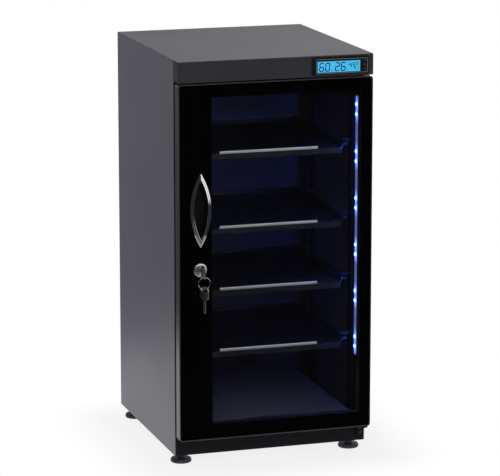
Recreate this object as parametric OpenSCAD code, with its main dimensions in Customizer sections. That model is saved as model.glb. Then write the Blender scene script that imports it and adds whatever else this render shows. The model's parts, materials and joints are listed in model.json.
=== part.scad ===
// Camera dry cabinet, in millimetres.
// X is right, Y is back and Z is up. The origin is the bottom centre of the part's own box.

/* [Cabinet] */
// Width over the side sheets
cabinet_w = 400; // [370:5:520]
// Depth from the door front to the back sheet
cabinet_d = 450; // [430:5:600]
// Height from the floor to the top sheet
cabinet_h = 820; // [790:5:1000]
// Thickness of the steel sheets
sheet_t = 1.2; // [0.8:0.1:2]
// Height of the header front
header_h = 42; // [40:1:60]
// Height of the base strip that shows below the door
plinth_h = 38; // [30:1:60]
// How far the header floor hangs below the header front
lintel_h = 19; // [19:1:30]
// Height of the cabinet floor above the door's lower edge
floor_rise = 6; // [3:0.5:12]
// Depth of the folded sill behind the base strip
sill_d = 10; // [6:1:20]
// Width of the folded flange at the back of each side sheet
rear_flange_w = 13; // [11:0.5:20]
// Depth of the lip on the jamb that carries the lamps
lamp_lip_d = 13; // [13:0.5:20]
// Depth of the lip on the jamb that the lock cam grips
strike_lip_d = 7; // [4:0.5:9]

/* [Door] */
// Thickness of the door
door_t = 24; // [20:0.5:32]
// Gap between the door and the header
door_gap = 3; // [2.5:0.5:6]
// Gap between the door and the cabinet that the seal fills
seal_gap = 11; // [8:0.5:16]
// Corner radius of the door
door_corner_r = 6; // [4.5:0.5:12]
// Thickness of the door glass
glass_t = 4; // [3:0.5:6]
// Width of the frame edge round the glass
glass_rim = 2; // [1:0.25:4]
// Width of the ledge that the glass is bonded to
glass_ledge = 2; // [1:0.25:4]
// Wall of the door frame
frame_wall = 2; // [1:0.25:3]
// Skin at the back of the door frame
frame_skin = 1.4; // [1:0.1:3]
// Border beside the window on the handle side
border_latch = 68; // [66:1:90]
// Border beside the window on the hinge side
border_hinge = 23; // [22:1:40]
// Border above the window
border_top = 27; // [20:1:50]
// Border below the window
border_bottom = 31; // [20:1:50]
// Distance of the seal from the door edge
seal_inset = 8; // [7:0.5:12]
// Width of the seal
seal_w = 8; // [6:0.5:12]
// Step on each side between the seal's foot and its lip
seal_step = 1; // [0.5:0.25:2]
// Height of the seal's flat foot
seal_foot_h = 3; // [2:0.5:5]
// Distance of the hinge axis from the door edge
hinge_inset = 10; // [9.5:0.5:14]
// Diameter of the hinge pins
hinge_pin_d = 6; // [4:0.5:8]
// Length of each hinge pin inside the door
hinge_pin_l = 12; // [8:0.5:20]
// Wall of the hinge bushes
bush_wall = 1.5; // [1:0.25:2.5]
// Diameter of the flange on each hinge bush
bush_flange_d = 14; // [12:0.5:16]
// Thickness of the flange on each hinge bush
bush_flange_t = 1.5; // [1:0.1:2]
// Thickness of the hinge brackets
bracket_t = 3; // [2:0.25:4]
// Height of the lower hinge bracket's screwed leg
bracket_leg_h = 24; // [20:1:28]

/* [Handle] */
// Length of the handle from point to point
handle_l = 150; // [120:1:200]
// Width of the handle
handle_w = 43.5; // [38:0.5:46]
// Distance of the handle centre from the door edge
handle_inset = 44.5; // [40:0.5:45]
// Height of the handle centre above the door's lower edge
handle_up = 466; // [440:1:520]
// Width of the polished rim
rim_w = 7.5; // [5:0.25:9]
// Height of the polished rim in front of the glass
rim_proud = 4.5; // [3:0.25:8]
// Depth of the finger cup behind the glass front
cup_depth = 16; // [10:0.5:18]
// Wall of the finger cup
cup_wall = 1.5; // [1:0.1:2.5]

/* [Lock] */
// Distance of the lock axis from the door edge
lock_inset = 43; // [40:0.5:46]
// Height of the lock axis above the door's lower edge
lock_up = 347; // [320:1:360]
// Diameter of the lock face
lock_face_d = 27; // [24:0.5:32]
// Thickness of the lock face
lock_face_t = 4; // [3:0.25:6]
// Diameter of the lock barrel
lock_barrel_d = 18; // [16:0.5:20]
// Diameter of the turning plug
plug_d = 12; // [11:0.5:13]
// Length of the cam from the lock axis to its tip
cam_l = 34; // [30:1:37]
// Width of the cam
cam_w = 14; // [12:0.5:16]
// Thickness of the cam
cam_t = 2.5; // [2:0.25:3]
// Size of the square tail that drives the cam, across its corners
tail_d = 8; // [6:0.5:9]
// Diameter of the head of the screw that holds the cam
cam_screw_d = 11; // [10:0.5:13]
// Width of the lock nut across its flats
nut_w = 24; // [21:0.5:28]
// Thickness of the lock nut
nut_t = 5; // [3:0.5:7]

/* [Keys] */
// Length of the key head along the key
bow_l = 26; // [22:0.5:32]
// Width of the key head
bow_w = 26; // [23:0.5:32]
// Corner radius of the key head
bow_r = 8; // [4:0.5:9]
// Thickness of the key head
bow_t = 2.2; // [1.8:0.1:3]
// Length of the slot across the key head
bow_slot_l = 19; // [12:0.5:20]
// Width of the slot in the key head
bow_slot_w = 6; // [4:0.25:7]
// Distance of the slot's middle line from the end of the key head
bow_slot_end = 7; // [6:0.25:9]
// Length of the bare shank between the key head and the lock face
shank_l = 6; // [4:0.5:12]
// Length of the cut blade
blade_l = 22; // [18:0.5:26]
// Width of the blade
blade_w = 7.4; // [6:0.2:8]
// Thickness of the blade
blade_t = 1.8; // [1.4:0.1:2]
// Outer diameter of the key ring
ring_d = 26; // [22:0.5:34]
// Diameter of the key ring's wire
ring_wire_d = 1.8; // [1.2:0.1:2]
// How far the spare key hangs turned from the lock axis, in degrees
spare_turn = 21; // [0:1:30]

/* [Shelves] */
// Distance of the shelf fronts behind the cabinet's front frame
shelf_setback = 15; // [14:0.5:30]
// Depth of each shelf
tray_d = 330; // [250:5:345]
// Distance of each shelf's side flange from the cabinet side
tray_inset = 36; // [35:0.5:60]
// Width of each shelf's side flange
tray_flange_w = 8; // [6:0.5:12]
// Sideways lean of each shelf's side wall
tray_lean = 4; // [2:0.5:6]
// Height of each shelf's side wall
tray_side_h = 8; // [6:0.5:12]
// Depth of the folded lip below each shelf front
tray_lip_h = 11; // [8:0.5:16]
// Width of the bright trim on each shelf front
trim_w = 204; // [160:2:260]
// Height of the fold that the trim clips on
trim_fold_h = 4.2; // [3:0.1:6]
// Wall of the trim clip
trim_wall = 1.2; // [0.8:0.1:2]
// Thickness of the shelf runners
runner_t = 1.5; // [1:0.1:2]
// Width of the arms between a runner and its posts
arm_w = 14; // [10:0.5:18]
// Thickness of the hooks that sit in the post slots
hook_t = 2.4; // [2:0.1:2.6]
// Height of the hooks
hook_h = 8; // [6:0.5:9]
// Depth of the slotted posts
post_d = 10; // [6:0.5:14]
// Width of the slotted posts
post_w = 22; // [20:0.5:30]
// Distance of the front posts behind the shelf fronts
post_front = 40; // [20:1:80]
// Distance of the rear posts in front of the shelves' back edges
post_rear = 55; // [30:1:90]
// Spacing of the post slots
slot_pitch = 25; // [20:0.5:27]
// Width of the post slots
slot_w = 3; // [2.8:0.1:4]
// Height of the post slots
slot_h = 10; // [9.2:0.2:12]
// Height of the first slot above the cabinet floor
slot_base = 17.5; // [14:0.5:22]
// Thickness of the foam pad on the cabinet floor
pad_t = 14; // [8:0.5:20]
// Rise of the foam pad's middle above its edges
pad_crown = 2; // [1:0.25:4]
// Corner radius of the foam pad
pad_corner_r = 12; // [8:1:30]
// Space round the foam pad
pad_margin = 3; // [2:0.5:10]

/* [Lamps] */
// Spacing of the lamp pairs
lamp_pitch = 95; // [80:1:100]
// Spacing of the two lamps in a pair
lamp_pair = 20; // [12:1:30]
// Distance of the first pair below the header floor
lamp_drop = 56; // [40:1:80]
// Side of each square lamp
lamp_w = 5; // [3.5:0.5:6]
// Thickness of each lamp
lamp_t = 1.6; // [1:0.1:2.5]
// Width of the lamp strip
strip_w = 10; // [8:0.5:11]
// Thickness of the lamp strip
strip_t = 1.5; // [1:0.1:2]
// Length of the strip past the first and last lamp pairs
strip_end = 27; // [18:1:40]

/* [Display] */
// Width of the display bezel
bezel_w = 118; // [116:1:140]
// Height of the display bezel
bezel_h = 36; // [36:0.5:38]
// Distance of the display bezel from the cabinet side
bezel_side = 10; // [6:0.5:30]
// Corner radius of the display bezel
bezel_r = 4; // [2:0.5:8]
// Height of the bezel in front of the header
bezel_proud = 1.2; // [0.8:0.1:2]
// Thickness of the bezel's front plate
bezel_face_t = 2.5; // [2:0.1:3.5]
// Depth of the bezel body behind the header front
bezel_depth = 12; // [11:0.5:20]
// Width of the bezel edge that laps the header
bezel_lap = 2; // [1.5:0.1:2.2]
// Wall of the bezel body
bezel_wall = 1.5; // [1:0.1:1.6]
// Width of the lit screen
screen_w = 89; // [70:1:90]
// Height of the lit screen
screen_h = 22; // [16:0.5:22]
// Distance of the lit screen from the bezel's left edge
screen_side = 12; // [10:0.5:14]
// Distance of the screen centre below the bezel centre
screen_drop = 2; // [0:0.25:2]
// Width of the screen's hidden margin
screen_margin = 0.8; // [0.5:0.1:1]
// Thickness of the screen
screen_t = 3; // [2:0.25:4]
// Thickness of the control board
board_t = 1.6; // [1:0.1:2]
// Width of each button
button_w = 7; // [5:0.25:7.5]
// Height of each button
button_h = 5; // [3.5:0.25:5.5]
// Spacing of the buttons
button_pitch = 9; // [8.5:0.25:10]
// Space between the button collars and the wall of the bezel body
button_side = 0.5; // [0.3:0.1:1.2]
// Height of each button in front of the bezel
button_proud = 1.6; // [1.4:0.1:2.5]
// Travel of each button
button_travel = 1.2; // [0.6:0.1:1.3]
// Thickness of the collar that keeps a button in
collar_t = 1; // [0.6:0.1:1.4]
// Width of that collar round the button
collar_w = 0.7; // [0.5:0.1:0.9]
// Height of the switch behind each button
switch_t = 4; // [3:0.25:4.5]

/* [Dryer] */
// Width of the drying unit
dryer_w = 170; // [150:2:240]
// Height of the drying unit
dryer_h = 100; // [92:1:110]
// Depth of the drying unit
dryer_d = 60; // [58:1:66]
// Height of the drying unit above the cabinet floor
dryer_up = 34; // [26:1:40]
// Wall of the drying unit
dryer_wall = 2.5; // [2:0.25:3.5]
// Depth of the louvred cover
cover_d = 8; // [6:0.5:9]
// Wall of the louvred cover
cover_wall = 2; // [1.5:0.25:3]
// Number of louvre slots in each cover
louvre_count = 6; // [3:1:8]
// Height of each louvre slot
louvre_h = 3; // [2:0.25:4]
// Width of the air window that a flap closes
window_w = 120; // [90:2:130]
// Height of the air window
window_h = 26; // [20:1:28]
// Height of the air window above the drying unit's underside
window_up = 8; // [5:0.5:10]
// How far a flap laps its window
flap_lap = 2; // [1.5:0.25:4]
// Thickness of the flaps
flap_t = 1.5; // [1:0.1:2]
// Diameter of the flap pivots
pivot_d = 4; // [3:0.25:4.5]
// Angle through which the flaps swing, in degrees
flap_swing = 60; // [40:5:65]
// Thickness of the ears that hold the flap pivots
ear_t = 4; // [3:0.25:6]
// Thickness of the heater plate
heater_t = 3; // [2:0.25:4]
// Depth of the heater plate
heater_d = 40; // [30:1:44]
// Width of the ledges under the heater plate
heater_ledge = 5; // [3:0.5:8]
// Height of the drying agent pack
pack_h = 38; // [28:1:40]
// Depth the rear vent cover stands out
vent_proud = 8; // [6:0.5:14]
// Width of the lapping edge of the rear vent cover
vent_lap = 12; // [11:0.5:20]
// Height between the upper and lower screws of the rear vent
vent_screw_pitch = 16; // [12:1:18]
// Width of the power inlet
inlet_w = 24; // [20:0.5:30]
// Height of the power inlet
inlet_h = 16; // [14:0.5:20]
// Depth of the power inlet behind its flange
inlet_d = 20; // [17:0.5:30]
// Width of the flange round the power inlet
inlet_lap = 3; // [2:0.25:5]
// Thickness of the flange of the power inlet
inlet_flange_t = 2; // [1.5:0.25:3]
// Wall of the power inlet
inlet_wall = 2; // [1.5:0.25:2.5]
// Diameter of the inlet pins
inlet_pin_d = 2.4; // [2:0.1:2.6]
// Spacing of the inlet pins
inlet_pitch = 8.6; // [8:0.1:9]
// Distance of the power inlet from the cabinet's middle
inlet_x = 120; // [60:1:150]

/* [Feet] */
// Height of the cabinet above the floor
foot_h = 22; // [20:0.5:40]
// Diameter of each foot disc
foot_d = 42; // [34:1:50]
// Thickness of each foot disc
foot_disc_h = 9; // [6:0.5:12]
// Diameter of each foot neck
neck_d = 18; // [15:0.5:20]
// Diameter of each foot screw
foot_screw_d = 10; // [8:0.5:12]
// Length of each foot screw above the cabinet's underside
foot_screw_l = 16; // [12:0.5:18]
// Width of the welded foot nuts across their corners
foot_nut_d = 19; // [17:0.5:22]
// Height of the welded foot nuts
foot_nut_h = 8; // [6:0.5:10]
// Distance of the feet from the cabinet sides
foot_side = 22; // [21:0.5:40]
// Distance of the feet from the front frame and from the back
foot_end = 34; // [22:1:60]
// Diameter of the screw heads
head_d = 7; // [6:0.25:8]
// Height of the screw heads
head_h = 2; // [1.5:0.1:2.5]
// Diameter of the screw shanks
shank_d = 3.5; // [3:0.1:4]
// Length of the screw shanks
screw_l = 8; // [6:0.5:9]

/* [Hidden] */
$fn = 96;
// Clearance between pieces that slide or swing past each other
run_gap = 0.3;
// Radial clearance of a pin or plug in its hole
pin_gap = 0.08;
// Overrun of every cut past the face that it opens
over = 2;

// Two places at the same distance from a middle, and two places moved by the same amount
function about(mid, half) = [mid - half, mid + half];
function moved(span, d) = [span[0] + d, span[1] + d];

// Two places drawn in by the same amount
function inset(span, d) = [span[0] + d, span[1] - d];

// Height of each level
side_x = cabinet_w / 2;
inner_x = side_x - sheet_t;
base_z = foot_h;
top_z = cabinet_h;
roof_z = top_z - sheet_t;
header_z = top_z - header_h;
door_top_z = header_z - door_gap;
door_z = base_z + plinth_h;
frame_cover = seal_inset + seal_w + glass_rim;
sill_z = door_z + frame_cover;
lintel_z = header_z - lintel_h;
floor_z = door_z + floor_rise;
jamb_x = side_x - frame_cover;

// The spare key and the rear vent cover reach furthest to the front and the back
key_reach = lock_face_t + shank_l + bow_l;
hole_reach = key_reach - bow_slot_end;
spare_reach = hole_reach + bow_w / 2 * cos(spare_turn) + bow_t / 2 * sin(spare_turn);
front_reach = max(key_reach, spare_reach);
rear_reach = max(vent_proud, cover_wall + head_h);

// Place of each layer from front to back
front_y = (front_reach - rear_reach - cabinet_d) / 2;
glass_y = front_y + glass_t;
door_back_y = front_y + door_t;
skin_y = door_back_y - frame_skin;
body_y = door_back_y + seal_gap;
back_y = front_y + cabinet_d;
back_in_y = back_y - sheet_t;
deck_y = [body_y + sheet_t, back_in_y - sheet_t];
deck_x = [-inner_x, inner_x];

// Window of the door
window_x = [border_latch - side_x, side_x - border_hinge];
window_z = [door_z + border_bottom, door_top_z - border_top];

// Axes of the hinge, the handle and the lock
hinge_x = side_x - hinge_inset;
hinge_y = front_y + door_t / 2;
hinge_plate_z = door_z - bush_flange_t - run_gap;
boss_h = hinge_pin_l + frame_wall;
bush_d = hinge_pin_d + 2 * bush_wall;
bracket_w = 2 * (hinge_inset - sheet_t - run_gap);
bracket_screw_shares = [0.25, 0.75];
handle_x = handle_inset - side_x;
handle_z = door_z + handle_up;
rim_arc_r = (pow(handle_l / 2, 2) + pow(handle_w / 2, 2)) / handle_w;
rim_arc_x = rim_arc_r - handle_w / 2;
lock_x = lock_inset - side_x;
lock_z = door_z + lock_up;
cam_y = body_y + strike_lip_d + run_gap;
lock_face_y = front_y - lock_face_t;
ring_y = front_y - hole_reach;
ring_r = (ring_d - ring_wire_d) / 2;
ring_top_z = lock_z - (bow_slot_l - ring_wire_d) / 2 + run_gap;
ring_z = ring_top_z - ring_r;
// Place along the blade and depth of each cut, as shares of the blade's length and width
blade_cut_shares = [[0.2, 0.2], [0.42, 0.25], [0.62, 0.18], [0.82, 0.22]];
spare_hang_z = ring_z - ring_r;
spare_slot_z = spare_hang_z - (bow_slot_w - ring_wire_d) / 2 + run_gap;

// Places of the shelves: the post slot that each one hangs in
shelf_slots = [22, 16, 11, 6];
shelf_y = body_y + shelf_setback;
tray_edge_x = side_x - tray_inset;
tray_wall_x = tray_edge_x - tray_flange_w;
tray_floor_x = tray_wall_x - tray_lean;
post_x = inner_x - post_d;
post_front_y = shelf_y + post_front;
post_rear_y = shelf_y + tray_d - post_rear;
slot_count = floor((lintel_z - floor_z - slot_base - slot_h) / slot_pitch);
pad_x = post_x - pad_margin;
pad_y = [body_y + lamp_lip_d + pad_margin, back_in_y - pad_margin];

// Places of the lamps
strip_x = jamb_x - strip_t;
lamp_x = strip_x - lamp_t;
lamp_y = body_y + (sheet_t + lamp_lip_d) / 2;
lamp_pairs = 6;
lamp_top_z = lintel_z - lamp_drop;

// Places in the display
bezel_x = [side_x - bezel_side - bezel_w, side_x - bezel_side];
bezel_mid_z = (header_z + top_z) / 2;
bezel_z = about(bezel_mid_z, bezel_h / 2);
screen_x = [bezel_x[0] + screen_side, bezel_x[0] + screen_side + screen_w];
screen_mid_z = bezel_mid_z - screen_drop;
screen_z = about(screen_mid_z, screen_h / 2);
bezel_in_y = front_y - bezel_proud + bezel_face_t;
board_y = front_y + bezel_depth;
bezel_body_x = inset(bezel_x, bezel_lap + run_gap);
bezel_body_z = inset(bezel_z, bezel_lap + run_gap);
button_x = bezel_body_x[1] - bezel_wall - button_side - collar_w - button_w / 2;

// Places in the drying unit
dryer_z = [floor_z + dryer_up, floor_z + dryer_up + dryer_h];
dryer_y = back_in_y - dryer_d;
air_z = [dryer_z[0] + window_up, dryer_z[0] + window_up + window_h];
pivot_z = air_z[1] + flap_lap + pivot_d / 2;
flap_h = window_h + 2 * flap_lap + pivot_d / 2;
flap_w = window_w + 2 * flap_lap;
inner_pivot_y = dryer_y + dryer_wall + run_gap + pivot_d / 2;
outer_pivot_y = back_in_y - run_gap - pivot_d / 2;
ledge_z = pivot_z + pivot_d / 2 + ear_t;
heater_y = about(dryer_y + dryer_d / 2, heater_d / 2);
inlet_z = (lintel_z + top_z) / 2;

// Places of the feet and of the screws
foot_x = side_x - foot_side;
foot_y = [body_y + foot_end, back_y - foot_end];
back_screw_shares = [0.1, 0.37, 0.63, 0.9];
back_screw_x = inner_x - rear_flange_w / 2;

// Shared shapes

// A box between two places on each axis
module block(x, y, z) {
    translate([x[0], y[0], z[0]]) cube([x[1] - x[0], y[1] - y[0], z[1] - z[0]]);
}

// A round bar along X, Y or Z between two places, at a point of the other two axes
module rod_x(d, at, x) {
    translate([x[0], at[0], at[1]]) rotate([0, 90, 0]) cylinder(d = d, h = x[1] - x[0]);
}

module rod_y(d, at, y) {
    translate([at[0], y[1], at[1]]) rotate([90, 0, 0]) cylinder(d = d, h = y[1] - y[0]);
}

module rod_z(d, at, z) {
    translate([at[0], at[1], z[0]]) cylinder(d = d, h = z[1] - z[0]);
}

// A drawing in X and Z given a depth along Y
module slab_y(y) {
    translate([0, y[1], 0]) rotate([90, 0, 0]) linear_extrude(y[1] - y[0]) children();
}

// A drawing in Y and Z given a width along X
module slab_x(x) {
    translate([x[0], 0, 0]) rotate([90, 0, 90]) linear_extrude(x[1] - x[0]) children();
}

// A flat rectangle between two places on each axis, with round corners
module rounded(x, y, r) {
    translate([x[0] + r, y[0]]) square([x[1] - x[0] - 2 * r, y[1] - y[0]]);
    translate([x[0], y[0] + r]) square([x[1] - x[0], y[1] - y[0] - 2 * r]);
    for (cx = [x[0] + r, x[1] - r], cy = [y[0] + r, y[1] - r])
        translate([cx, cy]) circle(r = r);
}

// The same piece on the left
module on_left() {
    mirror([1, 0, 0]) children();
}

// Both sides
module on_both() {
    children();
    on_left() children();
}

// A screw whose head stands in front of a face that looks along -Y or +Y
module screw(at, face_y, out) {
    rod_y(head_d, at, out > 0 ? [face_y, face_y + head_h] : [face_y - head_h, face_y]);
    rod_y(shank_d, at, out > 0 ? [face_y - screw_l, face_y] : [face_y, face_y + screw_l]);
}

module screw_hole(at, y) {
    rod_y(shank_d + 2 * pin_gap, at, [y[0] - over, y[1] + over]);
}

// Cabinet sheets

module side_sheet() {
    flange_y = [back_in_y - sheet_t, back_in_y];
    difference() {
        union() {
            block([inner_x, side_x], [body_y, back_in_y], [base_z, roof_z]);
            block([inner_x - rear_flange_w, inner_x], flange_y, [base_z, roof_z]);
        }
        for (at = back_screws()) screw_hole([abs(at[0]), at[1]], flange_y);
    }
}

module left_side() {
    color("#5b5a64") on_left() side_sheet();
}

module right_side() {
    color("#5b5a64") side_sheet();
}

module top_panel() {
    color("#6d6c72") block([-side_x, side_x], [front_y, back_y], [roof_z, top_z]);
}

function back_screws() = [
    for (s = [-1, 1], share = back_screw_shares) [s * back_screw_x, base_z + share * (roof_z - base_z)]
];

function vent_screws() = [
    for (s = [-1, 1], t = [-1, 1])
        [s * (window_w + vent_lap) / 2, (air_z[0] + air_z[1] + t * vent_screw_pitch) / 2]
];

module back_panel() {
    color("#55545d") difference() {
        block([-side_x, side_x], [back_in_y, back_y], [base_z, roof_z]);
        block([-window_w / 2, window_w / 2], [back_in_y - over, back_y + over], air_z);
        inlet_cutout();
        for (at = concat(back_screws(), vent_screws())) screw_hole(at, [back_in_y, back_y]);
    }
}

module inlet_cutout() {
    y = inset([back_in_y, back_y], -over);
    block(about(-inlet_x, inlet_w / 2 + run_gap), y, about(inlet_z, inlet_h / 2 + run_gap));
}

// The plate under the cabinet, with the nuts that the feet screw into
module base_plate() {
    color("#2b2a30") difference() {
        union() {
            block(deck_x, deck_y, [base_z, base_z + sheet_t]);
            at_feet() cylinder(d = foot_nut_d, h = foot_nut_h + sheet_t, $fn = 6);
        }
        at_feet() translate([0, 0, -over])
            cylinder(d = foot_screw_d + 2 * pin_gap, h = foot_nut_h + sheet_t + 2 * over);
    }
}

module at_feet() {
    for (x = [-foot_x, foot_x], y = foot_y) translate([x, y, base_z]) children();
}

module floor_pan() {
    color("#26252b") block(deck_x, deck_y, [floor_z - sheet_t, floor_z]);
}

// The header's front, its two cheeks and the fold under it
module header_fascia() {
    color("#2c2c34") difference() {
        union() {
            block([-side_x, side_x], [front_y, front_y + sheet_t], [header_z, roof_z]);
            on_both() block([inner_x, side_x], [front_y, body_y], [header_z, roof_z]);
            block([-side_x, side_x], [front_y, body_y], [header_z, header_z + sheet_t]);
            block(deck_x, [body_y, body_y + sheet_t], [header_z, header_z + sheet_t]);
        }
        slab_y([front_y - over, front_y + sheet_t + over])
            rounded(inset(bezel_x, bezel_lap), inset(bezel_z, bezel_lap), bezel_r / 2);
        rod_z(hinge_pin_d + 2 * run_gap, [hinge_x, hinge_y], inset([header_z, header_z + sheet_t], -over));
    }
}

module header_floor() {
    color("#1f1e24") {
        block(deck_x, [body_y, body_y + sheet_t], [lintel_z, header_z]);
        block(deck_x, deck_y, [lintel_z, lintel_z + sheet_t]);
    }
}

module base_rail() {
    color("#17171d") difference() {
        union() {
            block(deck_x, [body_y, body_y + sheet_t], [base_z, sill_z]);
            block(deck_x, [body_y, body_y + sill_d], [sill_z - sheet_t, sill_z]);
        }
        for (at = hinge_screws()) screw_hole(at, [body_y, body_y + sheet_t]);
    }
}

// A front post of the cabinet, with its folded lip
module jamb(lip_d) {
    block([jamb_x, inner_x], [body_y, body_y + sheet_t], [sill_z, lintel_z]);
    block([jamb_x, jamb_x + sheet_t], [body_y, body_y + lip_d], [sill_z, lintel_z]);
}

module jamb_left() {
    color("#1b1b20") on_left() jamb(strike_lip_d);
}

module jamb_right() {
    color("#1b1b20") jamb(lamp_lip_d);
}

// Shelf carriers

function slot_z(n) = floor_z + slot_base + n * slot_pitch;

module slotted_post(y) {
    post_z = [floor_z, lintel_z];
    difference() {
        block([post_x, inner_x], [y, y + post_w], post_z);
        block([post_x + sheet_t, inner_x + over], inset([y, y + post_w], sheet_t), inset(post_z, -over));
        for (n = [0 : slot_count])
            block(
                inset([post_x, post_x + sheet_t], -over), about(y + post_w / 2, slot_w / 2),
                about(slot_z(n), slot_h / 2)
            );
    }
}

module posts() {
    slotted_post(post_front_y);
    slotted_post(post_rear_y);
}

module posts_left() {
    color("#3c3c42") on_left() posts();
}

module posts_right() {
    color("#3c3c42") posts();
}

// Top of a shelf's floor, from the slot that it hangs in
function shelf_z(n) = slot_z(n) - tray_side_h + sheet_t / 2;

// One channel that a shelf flange slides in, closed at its back, with arms to its two posts
module runner(n) {
    top = shelf_z(n) + tray_side_h;
    flange_z = inset([top - sheet_t, top], -run_gap);
    z = inset(flange_z, -runner_t);
    x = [tray_wall_x + sheet_t + run_gap, tray_edge_x + run_gap + runner_t];
    back = shelf_y + tray_d + run_gap;
    difference() {
        block(x, [shelf_y + runner_t, back + runner_t], z);
        block([x[0] - over, x[1] - runner_t], [shelf_y, back], flange_z);
    }
    for (y = [post_front_y, post_rear_y]) {
        mid_y = y + post_w / 2;
        block([x[1], post_x], about(mid_y, arm_w / 2), z);
        block([post_x, post_x + sheet_t + hook_t], about(mid_y, hook_t / 2), about(slot_z(n), hook_h / 2));
    }
}

module runners() {
    for (n = shelf_slots) runner(n);
}

module runners_left() {
    color("#4a4a50") on_left() runners();
}

module runners_right() {
    color("#4a4a50") runners();
}

// Shelves

module shelf(n) {
    z = shelf_z(n);
    y = [shelf_y, shelf_y + tray_d];
    color("#202025") {
        slab_y(y) translate([0, z]) tray_section();
        block([-tray_floor_x, tray_floor_x], [y[0], y[0] + sheet_t], [z - tray_lip_h, z]);
        block([-trim_w / 2, trim_w / 2], [y[0], y[0] + sheet_t], [z - sheet_t, z + trim_fold_h]);
        block([-tray_floor_x, tray_floor_x], [y[1] - sheet_t, y[1]], [z - sheet_t, z + tray_side_h]);
    }
}

// Section of a shelf: floor, leaning sides and the flanges that slide in the runners
module tray_section() {
    right = [
        [tray_floor_x, -sheet_t], [tray_wall_x, tray_side_h - sheet_t],
        [tray_edge_x, tray_side_h - sheet_t], [tray_edge_x, tray_side_h],
        [tray_wall_x - sheet_t, tray_side_h], [tray_floor_x - sheet_t, 0]
    ];
    left = [for (i = [len(right) - 1 : -1 : 0]) [-right[i][0], right[i][1]]];
    polygon(concat(right, left));
}

// A bright clip over the fold on a shelf's front
module shelf_trim(n) {
    z = shelf_z(n);
    mid_y = shelf_y + sheet_t / 2;
    r = sheet_t / 2 + trim_wall;
    color("#d8d8dc") difference() {
        union() {
            block([-trim_w / 2, trim_w / 2], [mid_y - r, mid_y + r], [z + run_gap, z + trim_fold_h]);
            rod_x(2 * r, [mid_y, z + trim_fold_h], [-trim_w / 2, trim_w / 2]);
        }
        block(about(0, trim_w / 2 + over), [shelf_y, shelf_y + sheet_t], [z - over, z + trim_fold_h]);
    }
}

module shelf_1() { shelf(shelf_slots[0]); }
module shelf_2() { shelf(shelf_slots[1]); }
module shelf_3() { shelf(shelf_slots[2]); }
module shelf_4() { shelf(shelf_slots[3]); }
module shelf_trim_1() { shelf_trim(shelf_slots[0]); }
module shelf_trim_2() { shelf_trim(shelf_slots[1]); }
module shelf_trim_3() { shelf_trim(shelf_slots[2]); }
module shelf_trim_4() { shelf_trim(shelf_slots[3]); }

// Foam pad

// Each ring of the pad: its share of the thickness, and how far it is drawn in as a share of the edge radius
pad_edge_shares = [[0, 0.5], [0.2, 0.12], [0.45, 0], [0.7, 0.1], [0.88, 0.38], [1, 1]];
// How far in the rings of the crown lie, as shares of the pad's half depth
pad_crown_shares = [0.2, 0.45, 0.75];
pad_edge_share = 0.4;
pad_edge_r = pad_t * pad_edge_share;
pad_corner_steps = 6;

function pad_crown_rise(s) = pad_crown * (1 - pow(1 - s, 2));

function pad_ring(half, d, z) = [
    for (c = [0 : 3], k = [0 : pad_corner_steps])
        let (
            r = max(pad_corner_r - d, pad_corner_r / 3),
            sx = (c == 0 || c == 3) ? 1 : -1,
            sy = c < 2 ? 1 : -1,
            a = 90 * (c + k / pad_corner_steps)
        )
        [sx * (half[0] - d - r) + r * cos(a), sy * (half[1] - d - r) + r * sin(a), z]
];

// A solid through rings of points that have the same count, closed by a fan at each end
module ring_solid(rings) {
    n = len(rings[0]);
    last = len(rings) - 1;
    walls = [
        for (i = [0 : last - 1], j = [0 : n - 1])
            let (a = i * n + j, b = i * n + (j + 1) % n)
            each [[a, b + n, b], [a, a + n, b + n]]
    ];
    floor_fan = [for (j = [1 : n - 2]) [0, j, j + 1]];
    roof_fan = [for (j = [1 : n - 2]) [last * n, last * n + j + 1, last * n + j]];
    polyhedron([for (r = rings) each r], concat(walls, floor_fan, roof_fan));
}

module floor_pad() {
    half = [pad_x, (pad_y[1] - pad_y[0]) / 2];
    reach = half[1] - pad_edge_r;
    rings = concat(
        [for (e = pad_edge_shares) pad_ring(half, e[1] * pad_edge_r, e[0] * pad_t)],
        [for (s = pad_crown_shares) pad_ring(half, pad_edge_r + s * reach, pad_t + pad_crown_rise(s))]
    );
    color("#363a43") translate([0, (pad_y[0] + pad_y[1]) / 2, floor_z + run_gap]) ring_solid(rings);
}

// Lamps

function lamp_places() = [
    for (i = [0 : lamp_pairs - 1], s = [1, -1]) lamp_top_z - i * lamp_pitch + s * lamp_pair / 2
];

module lamp_strip() {
    color("#e8e8ea") block(
        [strip_x, jamb_x], about(lamp_y, strip_w / 2),
        [lamp_top_z - (lamp_pairs - 1) * lamp_pitch - strip_end, lamp_top_z + strip_end]
    );
}

module lamps() {
    color("#bcd4ff") for (z = lamp_places())
        block([lamp_x, strip_x], about(lamp_y, lamp_w / 2), about(z, lamp_w / 2));
}

// Display

module display_bezel() {
    color("#101014") difference() {
        union() {
            slab_y([front_y - bezel_proud, front_y]) rounded(bezel_x, bezel_z, bezel_r);
            slab_y([front_y - bezel_proud, board_y])
                rounded(bezel_body_x, bezel_body_z, bezel_r / 2 - run_gap);
        }
        block(inset(bezel_body_x, bezel_wall), [bezel_in_y, board_y + over], inset(bezel_body_z, bezel_wall));
        block(screen_x, [front_y - bezel_proud - over, bezel_in_y + over], screen_z);
        for (i = [-1 : 1]) button_shaft(i, [front_y - bezel_proud - over, bezel_in_y + over], run_gap);
    }
}

module display_screen() {
    color("#2fa6d8") block(
        inset(screen_x, -screen_margin), [bezel_in_y, bezel_in_y + screen_t], inset(screen_z, -screen_margin)
    );
}

function button_z(i) = bezel_mid_z + i * button_pitch;

module button_shaft(i, y, grow) {
    block(about(button_x, button_w / 2 + grow), y, about(button_z(i), button_h / 2 + grow));
}

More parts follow.
